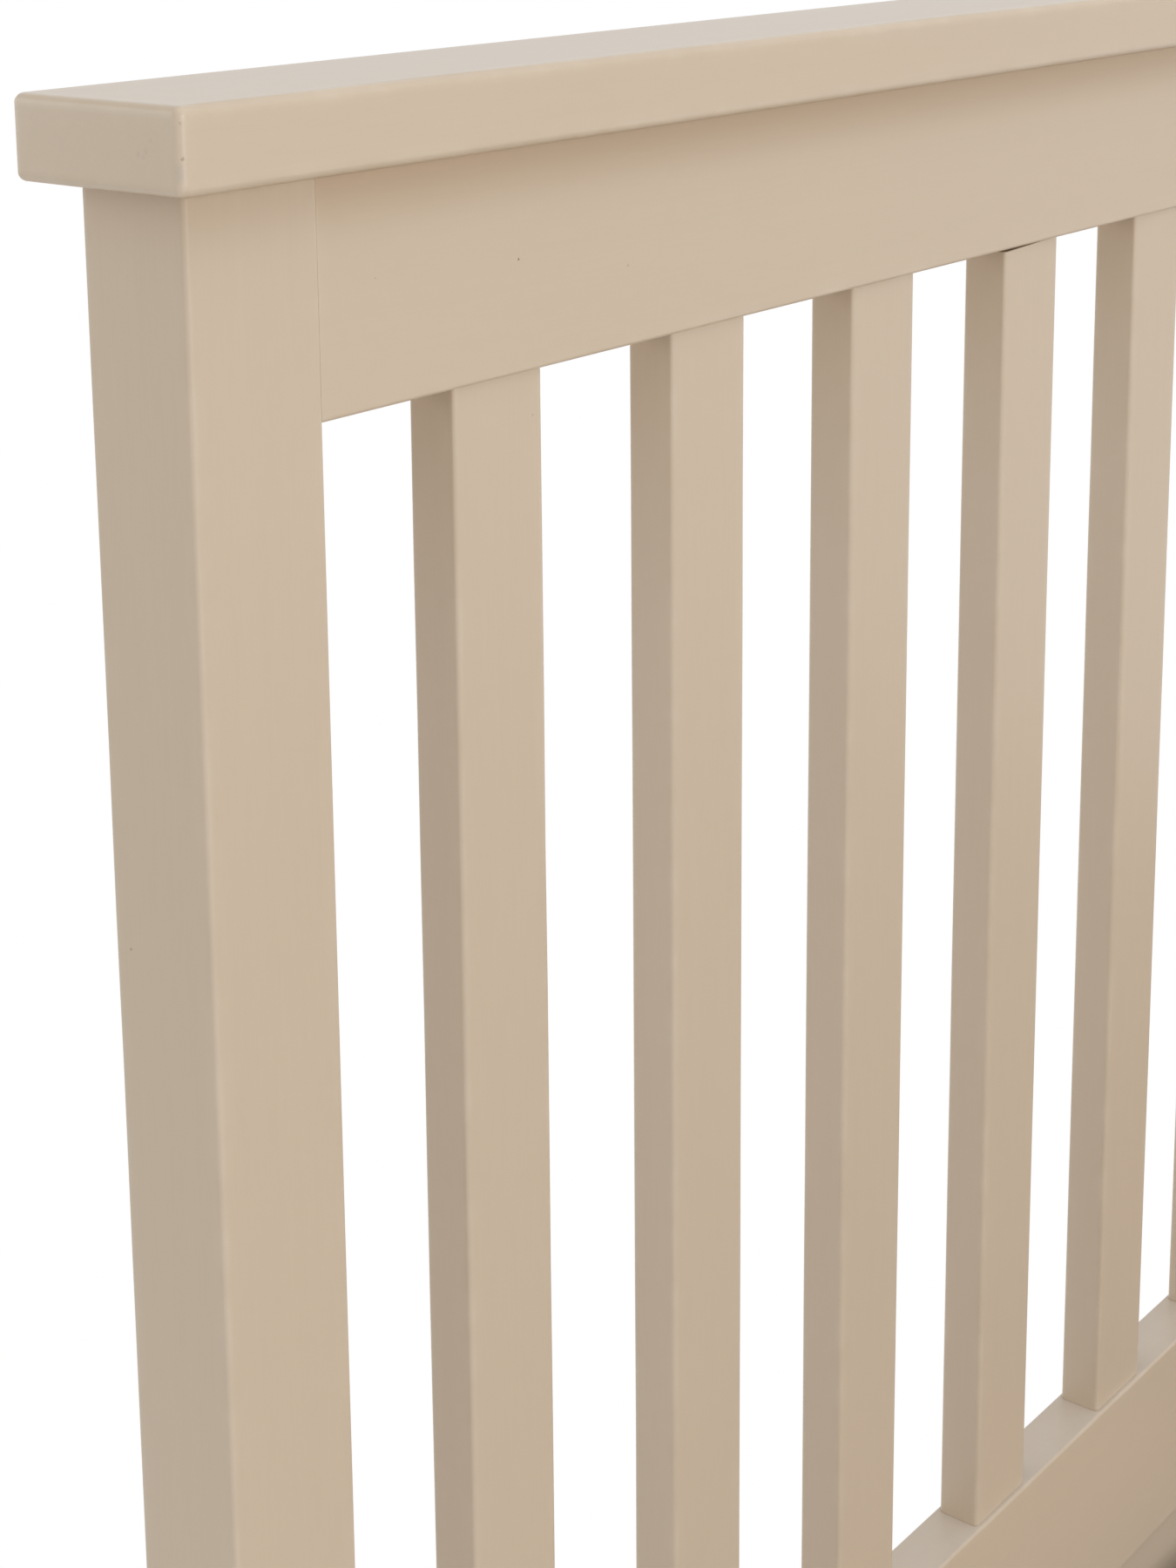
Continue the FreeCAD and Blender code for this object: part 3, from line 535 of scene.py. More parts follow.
# %% [markdown]
# ## Boards with softened arrises
# Every timber piece is a planed board whose edges are eased with abrasive paper before painting.
# A plain box with a bevel would do, but its flat faces leave nothing for the paint to vary on. Here a
# board is a rounded outline carried along its length: the outline is drawn in towards both ends
# along a quarter circle, extra rings lie close to each arris to keep the broad faces flat, and
# each arris is flattened a little here and there, as hand work leaves it. The points carry a
# mark for the arris and one for the sunk end of a joint, which the paint reads.

# %% Rounded outlines
NEAR_EDGE, FAR_EDGE = 0.0012, 0.0050
NEAR_SHARE, FAR_SHARE = 0.15, 0.35
LEAST_ROUND_SHARE = 0.2
CORNER_SIGNS = np.array([(1, 1), (-1, 1), (-1, -1), (1, -1)])


def side_points(first, last):
    """Four points on a straight side, near and far from each of its ends, for many rings."""
    span = last - first
    length = np.maximum(np.linalg.norm(span, axis=-1, keepdims=True), NEAR_EDGE)
    near = np.minimum(NEAR_EDGE / length, NEAR_SHARE)
    far = np.minimum(FAR_EDGE / length, FAR_SHARE)
    return np.stack([first + span * s for s in (near, far, 1 - far, 1 - near)], axis=1)


def rounded_outline(half, radii, draw_in, wear=None):
    """Rounded rectangles, one for each ring: corner arcs of the given radii about centres that sit
    in from the corner, with four points on each straight side. draw_in shrinks the whole
    outline, and wear flattens each arc by a share of its radius."""
    inset = np.asarray(draw_in, float)[:, None]
    worn = np.zeros((len(inset), 4)) if wear is None else wear
    arcs = []
    for corner, sign in enumerate(CORNER_SIGNS):
        radius = np.maximum(radii[corner] - inset, radii[corner] * LEAST_ROUND_SHARE)
        centre = sign * (np.asarray(half) - inset - radius)
        angle = (corner + np.linspace(0, 1, ARC_STEPS + 1)) * np.pi / 2
        flat = 1 - worn[:, corner, None] * np.sin(2 * angle) ** 2
        arc = np.stack([np.cos(angle), np.sin(angle)], axis=-1) * flat[..., None]
        arcs.append(centre[:, None, :] + radius[:, None, :] * arc)
    sides = [side_points(arcs[i][:, -1], arcs[(i + 1) % 4][:, 0]) for i in range(4)]
    return np.concatenate([part for pair in zip(arcs, sides) for part in pair], axis=1)


print("an outline has", rounded_outline((FAR_EDGE,) * 2, (NEAR_EDGE,) * 4, [0.0]).shape[1], "points")

# %% Board surfaces
RING_SPACING = 0.045
HAND_WEAR = 0.14
ARRIS_FADE = 0.35


def ring_places(length, end_round):
    """Where the rings lie along a board and how far each is drawn in: two on the end face, a
    quarter circle, two close behind it, then even spacing, and the same again backwards."""
    turn = np.linspace(0, np.pi / 2, ARC_STEPS + 1)
    edges = np.array([NEAR_EDGE, FAR_EDGE])
    place = np.concatenate([[0, 0], end_round * (1 - np.cos(turn)), end_round + edges])
    drawn = np.concatenate([end_round + edges[::-1], end_round * (1 - np.sin(turn)), [0, 0]])
    count = max(int((length - 2 * place[-1]) / RING_SPACING), 1)
    middle = np.linspace(place[-1], length - place[-1], count + 1)[1:-1]
    places = np.concatenate([place, middle, length - place[::-1]])
    return places, np.concatenate([drawn, np.zeros(len(middle)), drawn[::-1]]), len(place)


def board_marks(shape, drawn, ends, end_round, sunk):
    """Point marks of a board. The arris is 1 on every rounded edge and fades over the near ring;
    the seam is 1 on the rounded end of a joint."""
    fade = [ARRIS_FADE, 0, 0, ARRIS_FADE]
    across = np.tile(np.concatenate([np.ones(ARC_STEPS + 1), fade]), 4)
    end = np.concatenate([fade[1::-1], np.ones(ARC_STEPS + 1), fade[:2]])
    rings = np.concatenate([end, np.zeros(shape[0] - 2 * ends), end[::-1]])
    on_side = (drawn <= end_round)[:, None]
    inner = np.clip(drawn / end_round, 0, 1)
    inner[:ends] *= sunk[0]
    inner[-ends:] *= sunk[1]
    return {"arris": np.maximum(rings[:, None], across * on_side), "seam": inner[:, None]}


def board_surface(low, high, direction, radii, end_round, sunk=(0, 0), seed=0, short=0.0):
    """A board between two corners. radii are its four arrises in the order of CORNER_SIGNS, sunk
    says which ends are painted into a joint, and short cuts the last end back on its low side."""
    low, high = np.array(low), np.array(high)
    cross = [axis for axis in range(3) if axis != direction]
    places, drawn, ends = ring_places(high[direction] - low[direction], end_round)
    wear = np.random.default_rng(seed).uniform(0.0, HAND_WEAR, (len(places), 4))
    outline = rounded_outline((high - low)[cross] / 2, radii, drawn, wear)
    grid = np.empty((*outline.shape[:2], 3))
    grid[..., cross] = outline + ((low + high) / 2)[cross]
    grid[..., direction] = (low[direction] + places)[:, None]
    share = (high[cross[0]] - grid[-ends:, :, cross[0]]) / (high - low)[cross[0]]
    grid[-ends:, :, direction] -= short * share
    return surface(grid, board_marks(outline.shape[:2], drawn, ends, end_round, sunk))


print("a board of 1 m has", len(ring_places(1.0, NEAR_EDGE)[0]), "rings")

# %% [markdown]
# ## Headboard and footboard
# The tall end is two posts, a cap that oversails them, three rails, thirteen slats and a panel. The
# slats are set back behind the rails by a shadow's width, and one of them was cut a hair short. The
# arris in each joint is tight, and the free ones are eased more. The low end repeats it without slats.

# %% Paint a board
EASED, RAIL_EASE, SLAT_EASE, CAP_EASE, TIGHT = 0.0013, 0.0010, 0.0014, 0.0023, 0.0002


def paint_board(node, direction, radii, end_round, shaded_length=0.0, **options):
    """A painted board in the box of a packed node, which it replaces. The points of its top face are
    marked. Where a shaded length is given, its sides get a painted shade that grows over that length
    towards its top."""
    seed = sum(map(ord, node))
    low, high = (np.array(corner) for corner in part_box(node))
    shape = board_surface(low, high, direction, radii, end_round, seed=seed, **options)
    points = shape[0]
    # The top face is marked for a painted sheen.
    shape[2]["upward"] = (points[:, 2] > high[2] - TIGHT).astype(float)
    # The sides get a painted shade that grows towards the top.
    if shaded_length:
        rise = np.clip(1 - (high[2] - points[:, 2]) / shaded_length, 0, 1)
        on_side = np.abs(points[:, 0] - (low[0] + high[0]) / 2) > (high[0] - low[0]) / 2 - TIGHT
        shape[2]["shelter"] = rise * on_side
    return make_piece(node + "_board", shape, paints[direction], "bed_frame", "painted_timber", node)


print("arrises: %.1f mm where they are free, %.1f mm in a joint" % (EASED * 1000, TIGHT * 1000))

# %% Boards of the two ends
SHORT_SLAT, SHORT_BY = "headboard_slat_04", 0.0013
# How far down from their tops the slats' sides get painted shade.
SIDE_SHADE_LENGTH = 0.075
JOINT_CORNERS = {"headboard_post_left": 3, "headboard_post_right": 2,
                 "footboard_post_left": 0, "footboard_post_right": 1}
for end in ("headboard", "footboard"):
    for node in (end + "_post_left", end + "_post_right"):
        radii = [EASED] * 4
        radii[JOINT_CORNERS[node]] = TIGHT
        paint_board(node, UPRIGHT, radii, EASED)
    paint_board(end + "_cap_rail", ACROSS, (CAP_EASE,) * 4, CAP_EASE)
CROSS_PIECES = ("_top_rail", "_lower_rail", "_bottom_rail", "_panel")
rails = [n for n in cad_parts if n.endswith(CROSS_PIECES)]
for node in rails:
    paint_board(node, ACROSS, (RAIL_EASE,) * 4, TIGHT, sunk=(1, 1))
slats = [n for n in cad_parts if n.startswith("headboard_slat_")]
for node in slats:
    short = SHORT_BY if node == SHORT_SLAT else 0.0
    paint_board(node, UPRIGHT, (SLAT_EASE,) * 4, TIGHT, SIDE_SHADE_LENGTH, sunk=(1, 1), short=short)
for node in ("side_rail_left", "side_rail_right"):
    paint_board(node, ALONG, (EASED,) * 4, TIGHT, sunk=(1, 1))
print("painted boards:", len(rails), "cross pieces,", len(slats), "slats, 4 posts, 2 caps, 2 side rails")

# %% [markdown]
# ## The storage floor
# Bare softwood ledges and a centre beam carry two thin faced boards. They are the same board
# surface, with a finish of their own: in softwood the late wood of each year shows as darker
# streaks along the length, and the faced board is nearly plain, with short fibres in its skin.

# %% Softwood and fibreboard
EARLY_WOOD, LATE_WOOD = (0.640, 0.450, 0.260), (0.480, 0.290, 0.140)
YEARS, WOOD_PORES, WOOD_DEPTH = (75.0, 1.6, 75.0), (900.0, 16.0, 900.0), 0.00012
FACING, FIBRE = (0.500, 0.445, 0.375), (0.370, 0.310, 0.245)
FIBRES_LONG, FIBRES_CROSS, FIBRE_DEPTH = (220.0, 1500.0, 900.0), (1500.0, 220.0, 900.0), 0.00005
FACING_CLOUDS = 7.0


def softwood():
    """Planed pine whose grain runs along Y: stretched noise for the years, finer noise for pores."""
    wood = Finish("planed_softwood")
    years = wood.place.stretch(YEARS).noise(1.0, detail=4.0, distortion=0.7)
    pores = wood.place.stretch(WOOD_PORES).noise(1.0, detail=2.0)
    colour = shade(blend(EARLY_WOOD, LATE_WOOD, years.step(0.38, 0.78)), 0.90 + 0.20 * pores)
    colour = blend(colour, LATE_WOOD, wood.mark("arris") * 0.2)
    normal = wood.bump(years * 0.6 + pores * 0.4, WOOD_DEPTH)
    return wood.set(Base_Color=colour, Roughness=0.55 + 0.15 * pores, Normal=normal)


def faced_board():
    """Thin faced fibreboard: an even skin with short fibres scattered in two directions."""
    face = Finish("faced_fibreboard")
    lengthwise = face.place.stretch(FIBRES_LONG).noise(1.0, detail=2.0)
    crosswise = face.place.stretch(FIBRES_CROSS).noise(1.0, detail=2.0)
    clouds = face.place.noise(FACING_CLOUDS, detail=3.0)
    fibres = face.start.math("MAXIMUM", lengthwise, crosswise).step(0.52, 0.74)
    colour = shade(blend(FACING, FIBRE, fibres * 0.55), 0.92 + 0.16 * clouds)
    colour = blend(colour, FIBRE, face.mark("arris") * 0.5)
    normal = face.bump(fibres, FIBRE_DEPTH)
    return face.set(Base_Color=colour, Roughness=0.50 + 0.14 * fibres, Normal=normal)


pine, faced = softwood(), faced_board()
print("bare boards:", pine.name, "and", faced.name)

# %% Ledges, beam and sheets
LEDGE_WIDTH, SAWN_EASE, SKIN_EASE = 0.024, 0.0012, 0.0004


def side_pair(node, width, ease):
    """Two equal boards of a width, at the left and the right end of a packed node's box."""
    low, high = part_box(node)
    return joined([board_surface((x, *low[1:]), (x + width, *high[1:]), ALONG, (ease,) * 4, ease)
                   for x in (low.x, high.x - width)])


ledges = side_pair("floor_ledges", LEDGE_WIDTH, SAWN_EASE)
make_piece("floor_ledge_battens", ledges, pine, "bed_frame", "plain_timber", "floor_ledges")
beam = board_surface(*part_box("centre_floor_beam"), ALONG, (SAWN_EASE,) * 4, SAWN_EASE)
make_piece("centre_beam_batten", beam, pine, "bed_frame", "plain_timber", "centre_floor_beam")
for node in ("storage_floor_left", "storage_floor_right"):
    sheet = board_surface(*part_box(node), ALONG, (SKIN_EASE,) * 4, SKIN_EASE)
    make_piece(node + "_sheet", sheet, faced, "bed_frame", "floor_board", node)
print("storage floor: 2 ledges, 1 beam, 2 sheets")

# %% [markdown]
# ## Turned pieces
# Feet, glides, bolt heads and gas struts are turned: a profile of radii and heights spun about
# an axis. A ring can also be a hexagon or a cross, which cuts the socket of a bolt or the recess
# of a screw into the same grid with no boolean.

# %% Turned surfaces
TURN_STEPS = 48
RIM_STEPS = 4
ROUND, HEXAGON, CROSS = range(3)
CROSS_WAIST, CROSS_POWER = 0.32, 3
X_AXIS, Y_AXIS, Z_AXIS = np.eye(3)


def drum(radius, low, high, ease):
    """Profile of a drum from one height to another, with a quarter circle at each rim."""
    turn = np.linspace(0, np.pi / 2, RIM_STEPS)
    first = np.stack([radius - ease * (1 - np.sin(turn)), low + ease * (1 - np.cos(turn))], axis=1)
    last = np.stack([radius - ease * (1 - np.cos(turn)), high - ease * (1 - np.sin(turn))], axis=1)
    return np.concatenate([first, last])


def ring_shape(kind, angle):
    """Radius factor of a ring: 1 for a circle, the flats of a hexagon, or the arms of a cross."""
    if kind == HEXAGON:
        return math.cos(np.pi / 6) / np.cos((angle + np.pi / 6) % (np.pi / 3) - np.pi / 6)
    if kind == CROSS:
        return CROSS_WAIST + (1 - CROSS_WAIST) * np.abs(np.cos(2 * angle)) ** CROSS_POWER
    return np.ones_like(angle)


def turned_surface(profile, base, axis, kinds=None, steps=TURN_STEPS):
    """A profile of (radius, height) rows spun about an axis through a base point. Each ring's points
    lie at its radius, times the factor of its kind, in the plane square to the axis at its height."""
    profile = np.asarray(profile, float)
    angle = np.arange(steps) * 2 * np.pi / steps
    first = np.cross(axis, np.roll(axis, 1))
    first = first / np.linalg.norm(first)
    second = np.cross(axis, first)
    round_about = np.cos(angle)[:, None] * first + np.sin(angle)[:, None] * second
    factor = np.stack([ring_shape(k, angle) for k in (kinds or [ROUND] * len(profile))])
    spread = (profile[:, :1] * factor)[..., None] * round_about
    return surface(np.asarray(base) + profile[:, 1, None, None] * np.asarray(axis) + spread)


print("turned:", TURN_STEPS, "points round each ring")

# %% [markdown]
# ## Small moulded and plated finishes
# The other finishes are simple alone, but each has its own grain: moulded plastic is finely
# spark-eroded, rubber has a grey bloom, zinc plate dries in faint spangles with hairline scratches,
# powder coat has the skin of an orange, gloss paint catches dust, and a ground rod keeps an oily film.

# %% Plastic and rubber
PLASTIC, PLASTIC_RUBBED = (0.016, 0.016, 0.017), (0.040, 0.040, 0.042)
GRIT_SCALE, GRIT_DEPTH, RUB_SCALE = 1600.0, 0.00005, 26.0
RUBBER, RUBBER_BLOOM = (0.014, 0.014, 0.014), (0.060, 0.059, 0.056)
BLOOM_SCALE, PIT_SCALE, PIT_DEPTH = 38.0, 900.0, 0.00006


def moulded_plastic():
    """Black plastic from a spark-eroded mould, a little paler and smoother where hands rub it."""
    skin = Finish("moulded_plastic")
    grit = skin.place.noise(GRIT_SCALE, detail=2.0)
    rub = skin.place.noise(RUB_SCALE, detail=3.0)
    colour = blend(PLASTIC, PLASTIC_RUBBED, rub.step(0.35, 0.75))
    return skin.set(Base_Color=colour, Roughness=0.42 + 0.20 * grit, Normal=skin.bump(grit, GRIT_DEPTH))


def bloomed_rubber():
    """Moulded rubber with a faint grey bloom in patches."""
    skin = Finish("bloomed_rubber")
    bloom = skin.place.noise(BLOOM_SCALE, detail=4.0).step(0.40, 0.80)
    pits = skin.place.noise(PIT_SCALE, detail=2.0)
    colour = blend(RUBBER, RUBBER_BLOOM, bloom)
    return skin.set(Base_Color=colour, Roughness=0.72 + 0.14 * bloom, Normal=skin.bump(pits, PIT_DEPTH))


plastic, rubber = moulded_plastic(), bloomed_rubber()
print("moulded:", plastic.name, "and", rubber.name)

# %% Zinc plate and powder coat
ZINC, ZINC_PALE = (0.50, 0.51, 0.52), (0.64, 0.65, 0.66)
SPANGLE_SCALE, ZINC_DEPTH = 140.0, 0.00002
ROLLED, SCRATCHED = (600.0, 30.0, 30.0), (40.0, 1300.0, 260.0)
COAT, COAT_FLAKE, COAT_THIN = (0.270, 0.275, 0.285), (0.430, 0.435, 0.440), (0.40, 0.40, 0.40)
PEEL_SCALE, PEEL_DEPTH, FLAKE_SCALE, COAT_CLOUDS = 620.0, 0.00006, 2600.0, 9.0


def zinc_plate():
    """Bright zinc on pressed steel: pale spangles, hairline scratches and a rolled grain."""
    plate = Finish("bright_zinc")
    spangle = plate.place.cells(SPANGLE_SCALE, "Color").step(0.0, 1.0)
    rolled = plate.place.stretch(ROLLED).noise(1.0, detail=2.0)
    scratch = plate.place.stretch(SCRATCHED).noise(1.0, detail=2.0).step(0.62, 0.70)
    colour = blend(ZINC, ZINC_PALE, spangle * 0.6 + rolled * 0.4)
    rough = 0.30 + 0.12 * spangle + 0.08 * rolled + 0.10 * scratch
    normal = plate.bump(spangle * 0.3 + scratch * 0.7, ZINC_DEPTH)
    return plate.set(Base_Color=colour, Metallic=1.0, Roughness=rough, Normal=normal)


def powder_coat():
    """Silver-grey powder coat: an orange-peel skin with tiny bright flakes."""
    coat = Finish("grey_powder_coat")
    peel = coat.place.noise(PEEL_SCALE, detail=1.0)
    flakes = coat.place.cells(FLAKE_SCALE, "Color").step(0.80, 0.95)
    clouds = coat.place.noise(COAT_CLOUDS, detail=2.0)
    colour = shade(blend(COAT, COAT_FLAKE, flakes), 0.94 + 0.12 * clouds)
    colour = blend(colour, COAT_THIN, coat.mark("arris") * 0.25)
    return coat.set(Base_Color=colour, Roughness=0.34 + 0.12 * peel, Normal=coat.bump(peel, PEEL_DEPTH))


zinc, coated = zinc_plate(), powder_coat()
print("plated and coated:", zinc.name, "and", coated.name)

# %% Gloss paint and polished rod
GLOSS, GLOSS_HAZED = (0.010, 0.010, 0.011), (0.030, 0.030, 0.031)
HAZE_SCALE, DUST_SCALE, DUST_RADII, DUST_DEPTH = 22.0, 420.0, (0.05, 0.12), 0.00003
GLOSS_COAT = 0.3
ROD, ROD_OILED = (0.66, 0.66, 0.67), (0.56, 0.55, 0.53)
FILM_SCALE, GROUND, GROUND_DEPTH = 55.0, (40.0, 2400.0, 2400.0), 0.000004


def gloss_paint():
    """Black gloss paint on a gas strut, with dust caught in it and dulled by handling."""
    paint = Finish("black_gloss_paint")
    haze = paint.place.noise(HAZE_SCALE, detail=3.0)
    dust = (1 - paint.place.cells(DUST_SCALE).step(*DUST_RADII)) * haze.step(0.45, 0.60)
    rough = 0.16 + 0.16 * haze + 0.2 * dust
    return paint.set(Base_Color=blend(GLOSS, GLOSS_HAZED, haze), Roughness=rough,
                     Normal=paint.bump(dust, DUST_DEPTH), Coat_Weight=GLOSS_COAT)


def polished_rod():
    """A ground and polished rod: bright metal with very fine rings and an oily film."""
    rod = Finish("polished_rod")
    film = rod.place.noise(FILM_SCALE, detail=3.0)
    ground = rod.place.stretch(GROUND).noise(1.0, detail=1.0)
    colour = blend(ROD, ROD_OILED, film.step(0.45, 0.8))
    rough = 0.09 + 0.10 * film + 0.05 * ground
    normal = rod.bump(ground, GROUND_DEPTH)
    return rod.set(Base_Color=colour, Metallic=1.0, Roughness=rough, Normal=normal)


gloss, polished = gloss_paint(), polished_rod()
print("struts:", gloss.name, "and", polished.name)

# %% [markdown]
# ## Feet, glides, bumpers and bed bolts
# The bed stands on four glides under the posts and three feet under the beam. Rubber blocks take the
# closed platform. Each corner is pulled together by two bolts with a domed head and a hexagon socket,
# which screw into barrel nuts in the side rail.

# %% Stand the bed
FOOT_RADIUS, FOOT_TOP_RADIUS, GLIDE_RADIUS, RIM_EASE = 0.020, 0.0172, 0.014, 0.0012
FOOT_BASE_SHARE, FOOT_TOP_SHARE = 0.35, 0.45
BUMPER_WIDTH, BUMPER_EASE = 0.0435, 0.005
foot_low, foot_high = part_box("beam_feet")
foot_base = drum(FOOT_RADIUS, foot_low.z, foot_high.z * FOOT_BASE_SHARE, RIM_EASE)
foot_top = drum(FOOT_TOP_RADIUS, foot_high.z * FOOT_TOP_SHARE, foot_high.z, RIM_EASE)
foot_profile = np.concatenate([foot_base, foot_top])
foot_reach = foot_high.y - FOOT_RADIUS
feet = [turned_surface(foot_profile, (0.0, y, 0.0), Z_AXIS) for y in (-foot_reach, 0.0, foot_reach)]
make_piece("beam_feet_turned", joined(feet), plastic, "bed_frame", "black_plastic", "beam_feet")

glide_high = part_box("post_glides")[1]
glide_profile = drum(GLIDE_RADIUS, 0.0, glide_high.z, RIM_EASE)
glide_x, glide_y = glide_high.x - GLIDE_RADIUS, glide_high.y - GLIDE_RADIUS
glides = [turned_surface(glide_profile, (x, y, 0.0), Z_AXIS)
          for x in (-glide_x, glide_x) for y in (-glide_y, glide_y)]
make_piece("post_glides_turned", joined(glides), plastic, "bed_frame", "black_plastic", "post_glides")

bumpers = side_pair("platform_bumpers", BUMPER_WIDTH, BUMPER_EASE)
make_piece("platform_bumper_blocks", bumpers, rubber, "bed_frame", "black_rubber", "platform_bumpers")
print("stands on:", len(feet), "feet and", len(glides), "glides")

# %% Bolt its corners
BOLT_HEAD_RADIUS, NUT_RADIUS, NUT_PROUD = 0.008, 0.006, 0.0004
BOLT_SHARES = np.array([(1.0, 0.0), (1.0, 0.28), (0.96, 0.44), (0.84, 0.72), (0.66, 0.92), (0.52, 1.0),
                        (0.44, 0.97), (0.40, 0.90), (0.38, 0.15), (0.05, 0.12)])
BOLT_KINDS = [ROUND] * 6 + [HEXAGON] * 3 + [ROUND]
NUT_SHARES = np.array([(1.0, 0.0), (1.0, 0.5), (0.9, 1.0), (0.55, 1.0), (0.5, 0.4), (0.1, 0.3)])
NUT_KINDS = [ROUND] * 3 + [CROSS] * 2 + [ROUND]
bolt_low, bolt_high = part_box("bed_bolts")
post_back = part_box("headboard_post_left")[1].y
bolt_places = [(x * (bolt_high.x - BOLT_HEAD_RADIUS), z) for x in (-1, 1)
               for z in (bolt_low.z + BOLT_HEAD_RADIUS, bolt_high.z - BOLT_HEAD_RADIUS)]
bolt_profile = BOLT_SHARES * (BOLT_HEAD_RADIUS, bolt_high.y - post_back)
bolts = [turned_surface(bolt_profile, (x, way * post_back, z), way * Y_AXIS, BOLT_KINDS)
         for x, z in bolt_places for way in (-1, 1)]
make_piece("bed_bolt_heads", joined(bolts), zinc, "bed_frame", "zinc_steel", "bed_bolts")

nut_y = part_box("barrel_nuts")[1].y - NUT_RADIUS
rail_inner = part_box("side_rail_right")[0].x
nut_profile = NUT_SHARES * (NUT_RADIUS, NUT_PROUD)
nuts = [turned_surface(nut_profile, (math.copysign(rail_inner, x), way * nut_y, z),
                       -math.copysign(1, x) * X_AXIS, NUT_KINDS)
        for x, z in bolt_places for way in (-1, 1)]
make_piece("barrel_nut_faces", joined(nuts), zinc, "bed_frame", "zinc_steel", "barrel_nuts")
print("corners:", len(bolts), "bolts in", len(nuts), "nuts")

# %% [markdown]
# ## The lifting platform
# Five square tubes are welded into a frame. A tube's corners are rounded where the strip was rolled,
# its open ends are plugged with plastic, and a ripple of weld runs round each joint. A bent bar at
# the foot keeps the mattress in place. The weld is a small circle carried along the tube's outline,
# and its ripple is a sine along the way.

# %% Outlines carried along a path
CIRCLE_STEPS = 20


def carried(outline, path, side, looped=False, swell=None, marks=None):
    """An outline carried along a flat path. Each outline point goes its first number along a side
    axis, square to the path's plane, and its second number square to the path; swell scales it."""
    ahead = np.roll(path, -1, 0) - np.roll(path, 1, 0) if looped else np.gradient(path, axis=0)
    ahead = ahead / np.linalg.norm(ahead, axis=1, keepdims=True)
    up = np.cross(ahead, side)
    size = np.ones(len(path)) if swell is None else swell
    shaped = outline[None] * size[:, None, None]
    grid = path[:, None] + shaped[..., :1] * side + shaped[..., 1:] * up[:, None]
    return surface(grid, marks, looped)


def circle(radius):
    """Points of a circle."""
    angle = np.arange(CIRCLE_STEPS) * 2 * np.pi / CIRCLE_STEPS
    return radius * np.stack([np.cos(angle), np.sin(angle)], axis=1)


def even_points(points, spacing, looped=False):
    """Points at even distances along a line through the given ones, and those distances."""
    line = np.concatenate([points, points[:1]]) if looped else points
    run = np.concatenate([[0], np.cumsum(np.linalg.norm(np.diff(line, axis=0), axis=1))])
    count = int(run[-1] / spacing)
    marks = np.linspace(0, run[-1], count + 1)[:count + (0 if looped else 1)]
    return np.stack([np.interp(marks, run, line[:, axis]) for axis in range(3)], axis=1), marks


print("a carried circle has", len(circle(1.0)), "points")

# %% Tubes, plugs and welds
TUBE_ROUND, TUBE_END = 0.0032, 0.0006
PLUG_THICK, PLUG_ROUND = 0.0025, 0.0012
WELD_RADIUS, WELD_PITCH, WELD_RIPPLE, WELD_STEPS = 0.0021, 0.0028, 0.22, 4


def weld_bead(middle, half, normal_axis):
    """A rippled bead round a square tube, in the plane square to the tube."""
    loop = rounded_outline((half, half), (TUBE_ROUND,) * 4, [0.0])[0]
    cross = [axis for axis in range(3) if axis != normal_axis]
    points = np.tile(np.array(middle, float), (len(loop), 1))
    points[:, cross] += loop
    path, run = even_points(points, WELD_PITCH / WELD_STEPS, looped=True)
    ripple = 1 + WELD_RIPPLE * np.sin(run * 2 * np.pi / WELD_PITCH)
    return carried(circle(WELD_RADIUS), path, np.eye(3)[normal_axis], looped=True, swell=ripple)


tube_nodes = ["platform_tube_" + name for name in ("left", "right", "head", "foot", "middle")]
for node in tube_nodes:
    direction = ACROSS if node.endswith(("head", "foot")) else ALONG
    square = board_surface(*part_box(node), direction, (TUBE_ROUND,) * 4, TUBE_END)
    make_piece(node + "_section", square, coated, "platform", "grey_painted_steel", node)

plugs, beads = [], []
for node in ("platform_tube_left", "platform_tube_right"):
    low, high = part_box(node)
    for y, out in ((low.y, -PLUG_THICK), (high.y, PLUG_THICK)):
        first, last = sorted((y, y + out))
        plugs.append(board_surface((low.x, first, low.z), (high.x, last, high.z), ALONG,
                                   (TUBE_ROUND,) * 4, PLUG_ROUND))
make_piece("tube_plugs", joined(plugs), plastic, "platform", "black_plastic")
for node in ("platform_tube_head", "platform_tube_foot"):
    low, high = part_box(node)
    middle = (low + high) / 2
    half = (high.z - low.z) / 2
    beads += [weld_bead((x, middle.y, middle.z), half, ACROSS) for x in (low.x, high.x)]
low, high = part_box("platform_tube_middle")
level, half = (low.z + high.z) / 2, (high.z - low.z) / 2
beads += [weld_bead((0.0, y, level), half, ALONG) for y in (low.y, high.y)]
make_piece("tube_welds", joined(beads), coated, "platform", "grey_painted_steel")
print("platform:", len(tube_nodes), "tubes,", len(plugs), "plugs,", len(beads), "weld beads")

# %% Bend the stop bar
BAR_STEPS, BEND_STEPS = 24, 14
STOP_BEND = 0.030
low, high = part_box("mattress_stop_bar")
bar_radius = (high.y - low.y) / 2
reach, rise = high.x - bar_radius, high.z - bar_radius
turn = np.linspace(0, np.pi / 2, BEND_STEPS)
bend = np.stack([reach - STOP_BEND * (1 - np.cos(turn)), rise - STOP_BEND * (1 - np.sin(turn))], axis=1)
right = np.concatenate([[(reach, low.z)], [(reach, (low.z + rise - STOP_BEND) / 2)], bend])
span = np.linspace(reach - STOP_BEND, STOP_BEND - reach, BAR_STEPS)[1:-1]
top = np.stack([span, np.full_like(span, rise)], axis=1)
bar = np.concatenate([right, top, (right * (-1, 1))[::-1]])
bar_path = np.insert(bar, 1, (low.y + high.y) / 2, axis=1)
stop = carried(circle(bar_radius), bar_path, Y_AXIS)
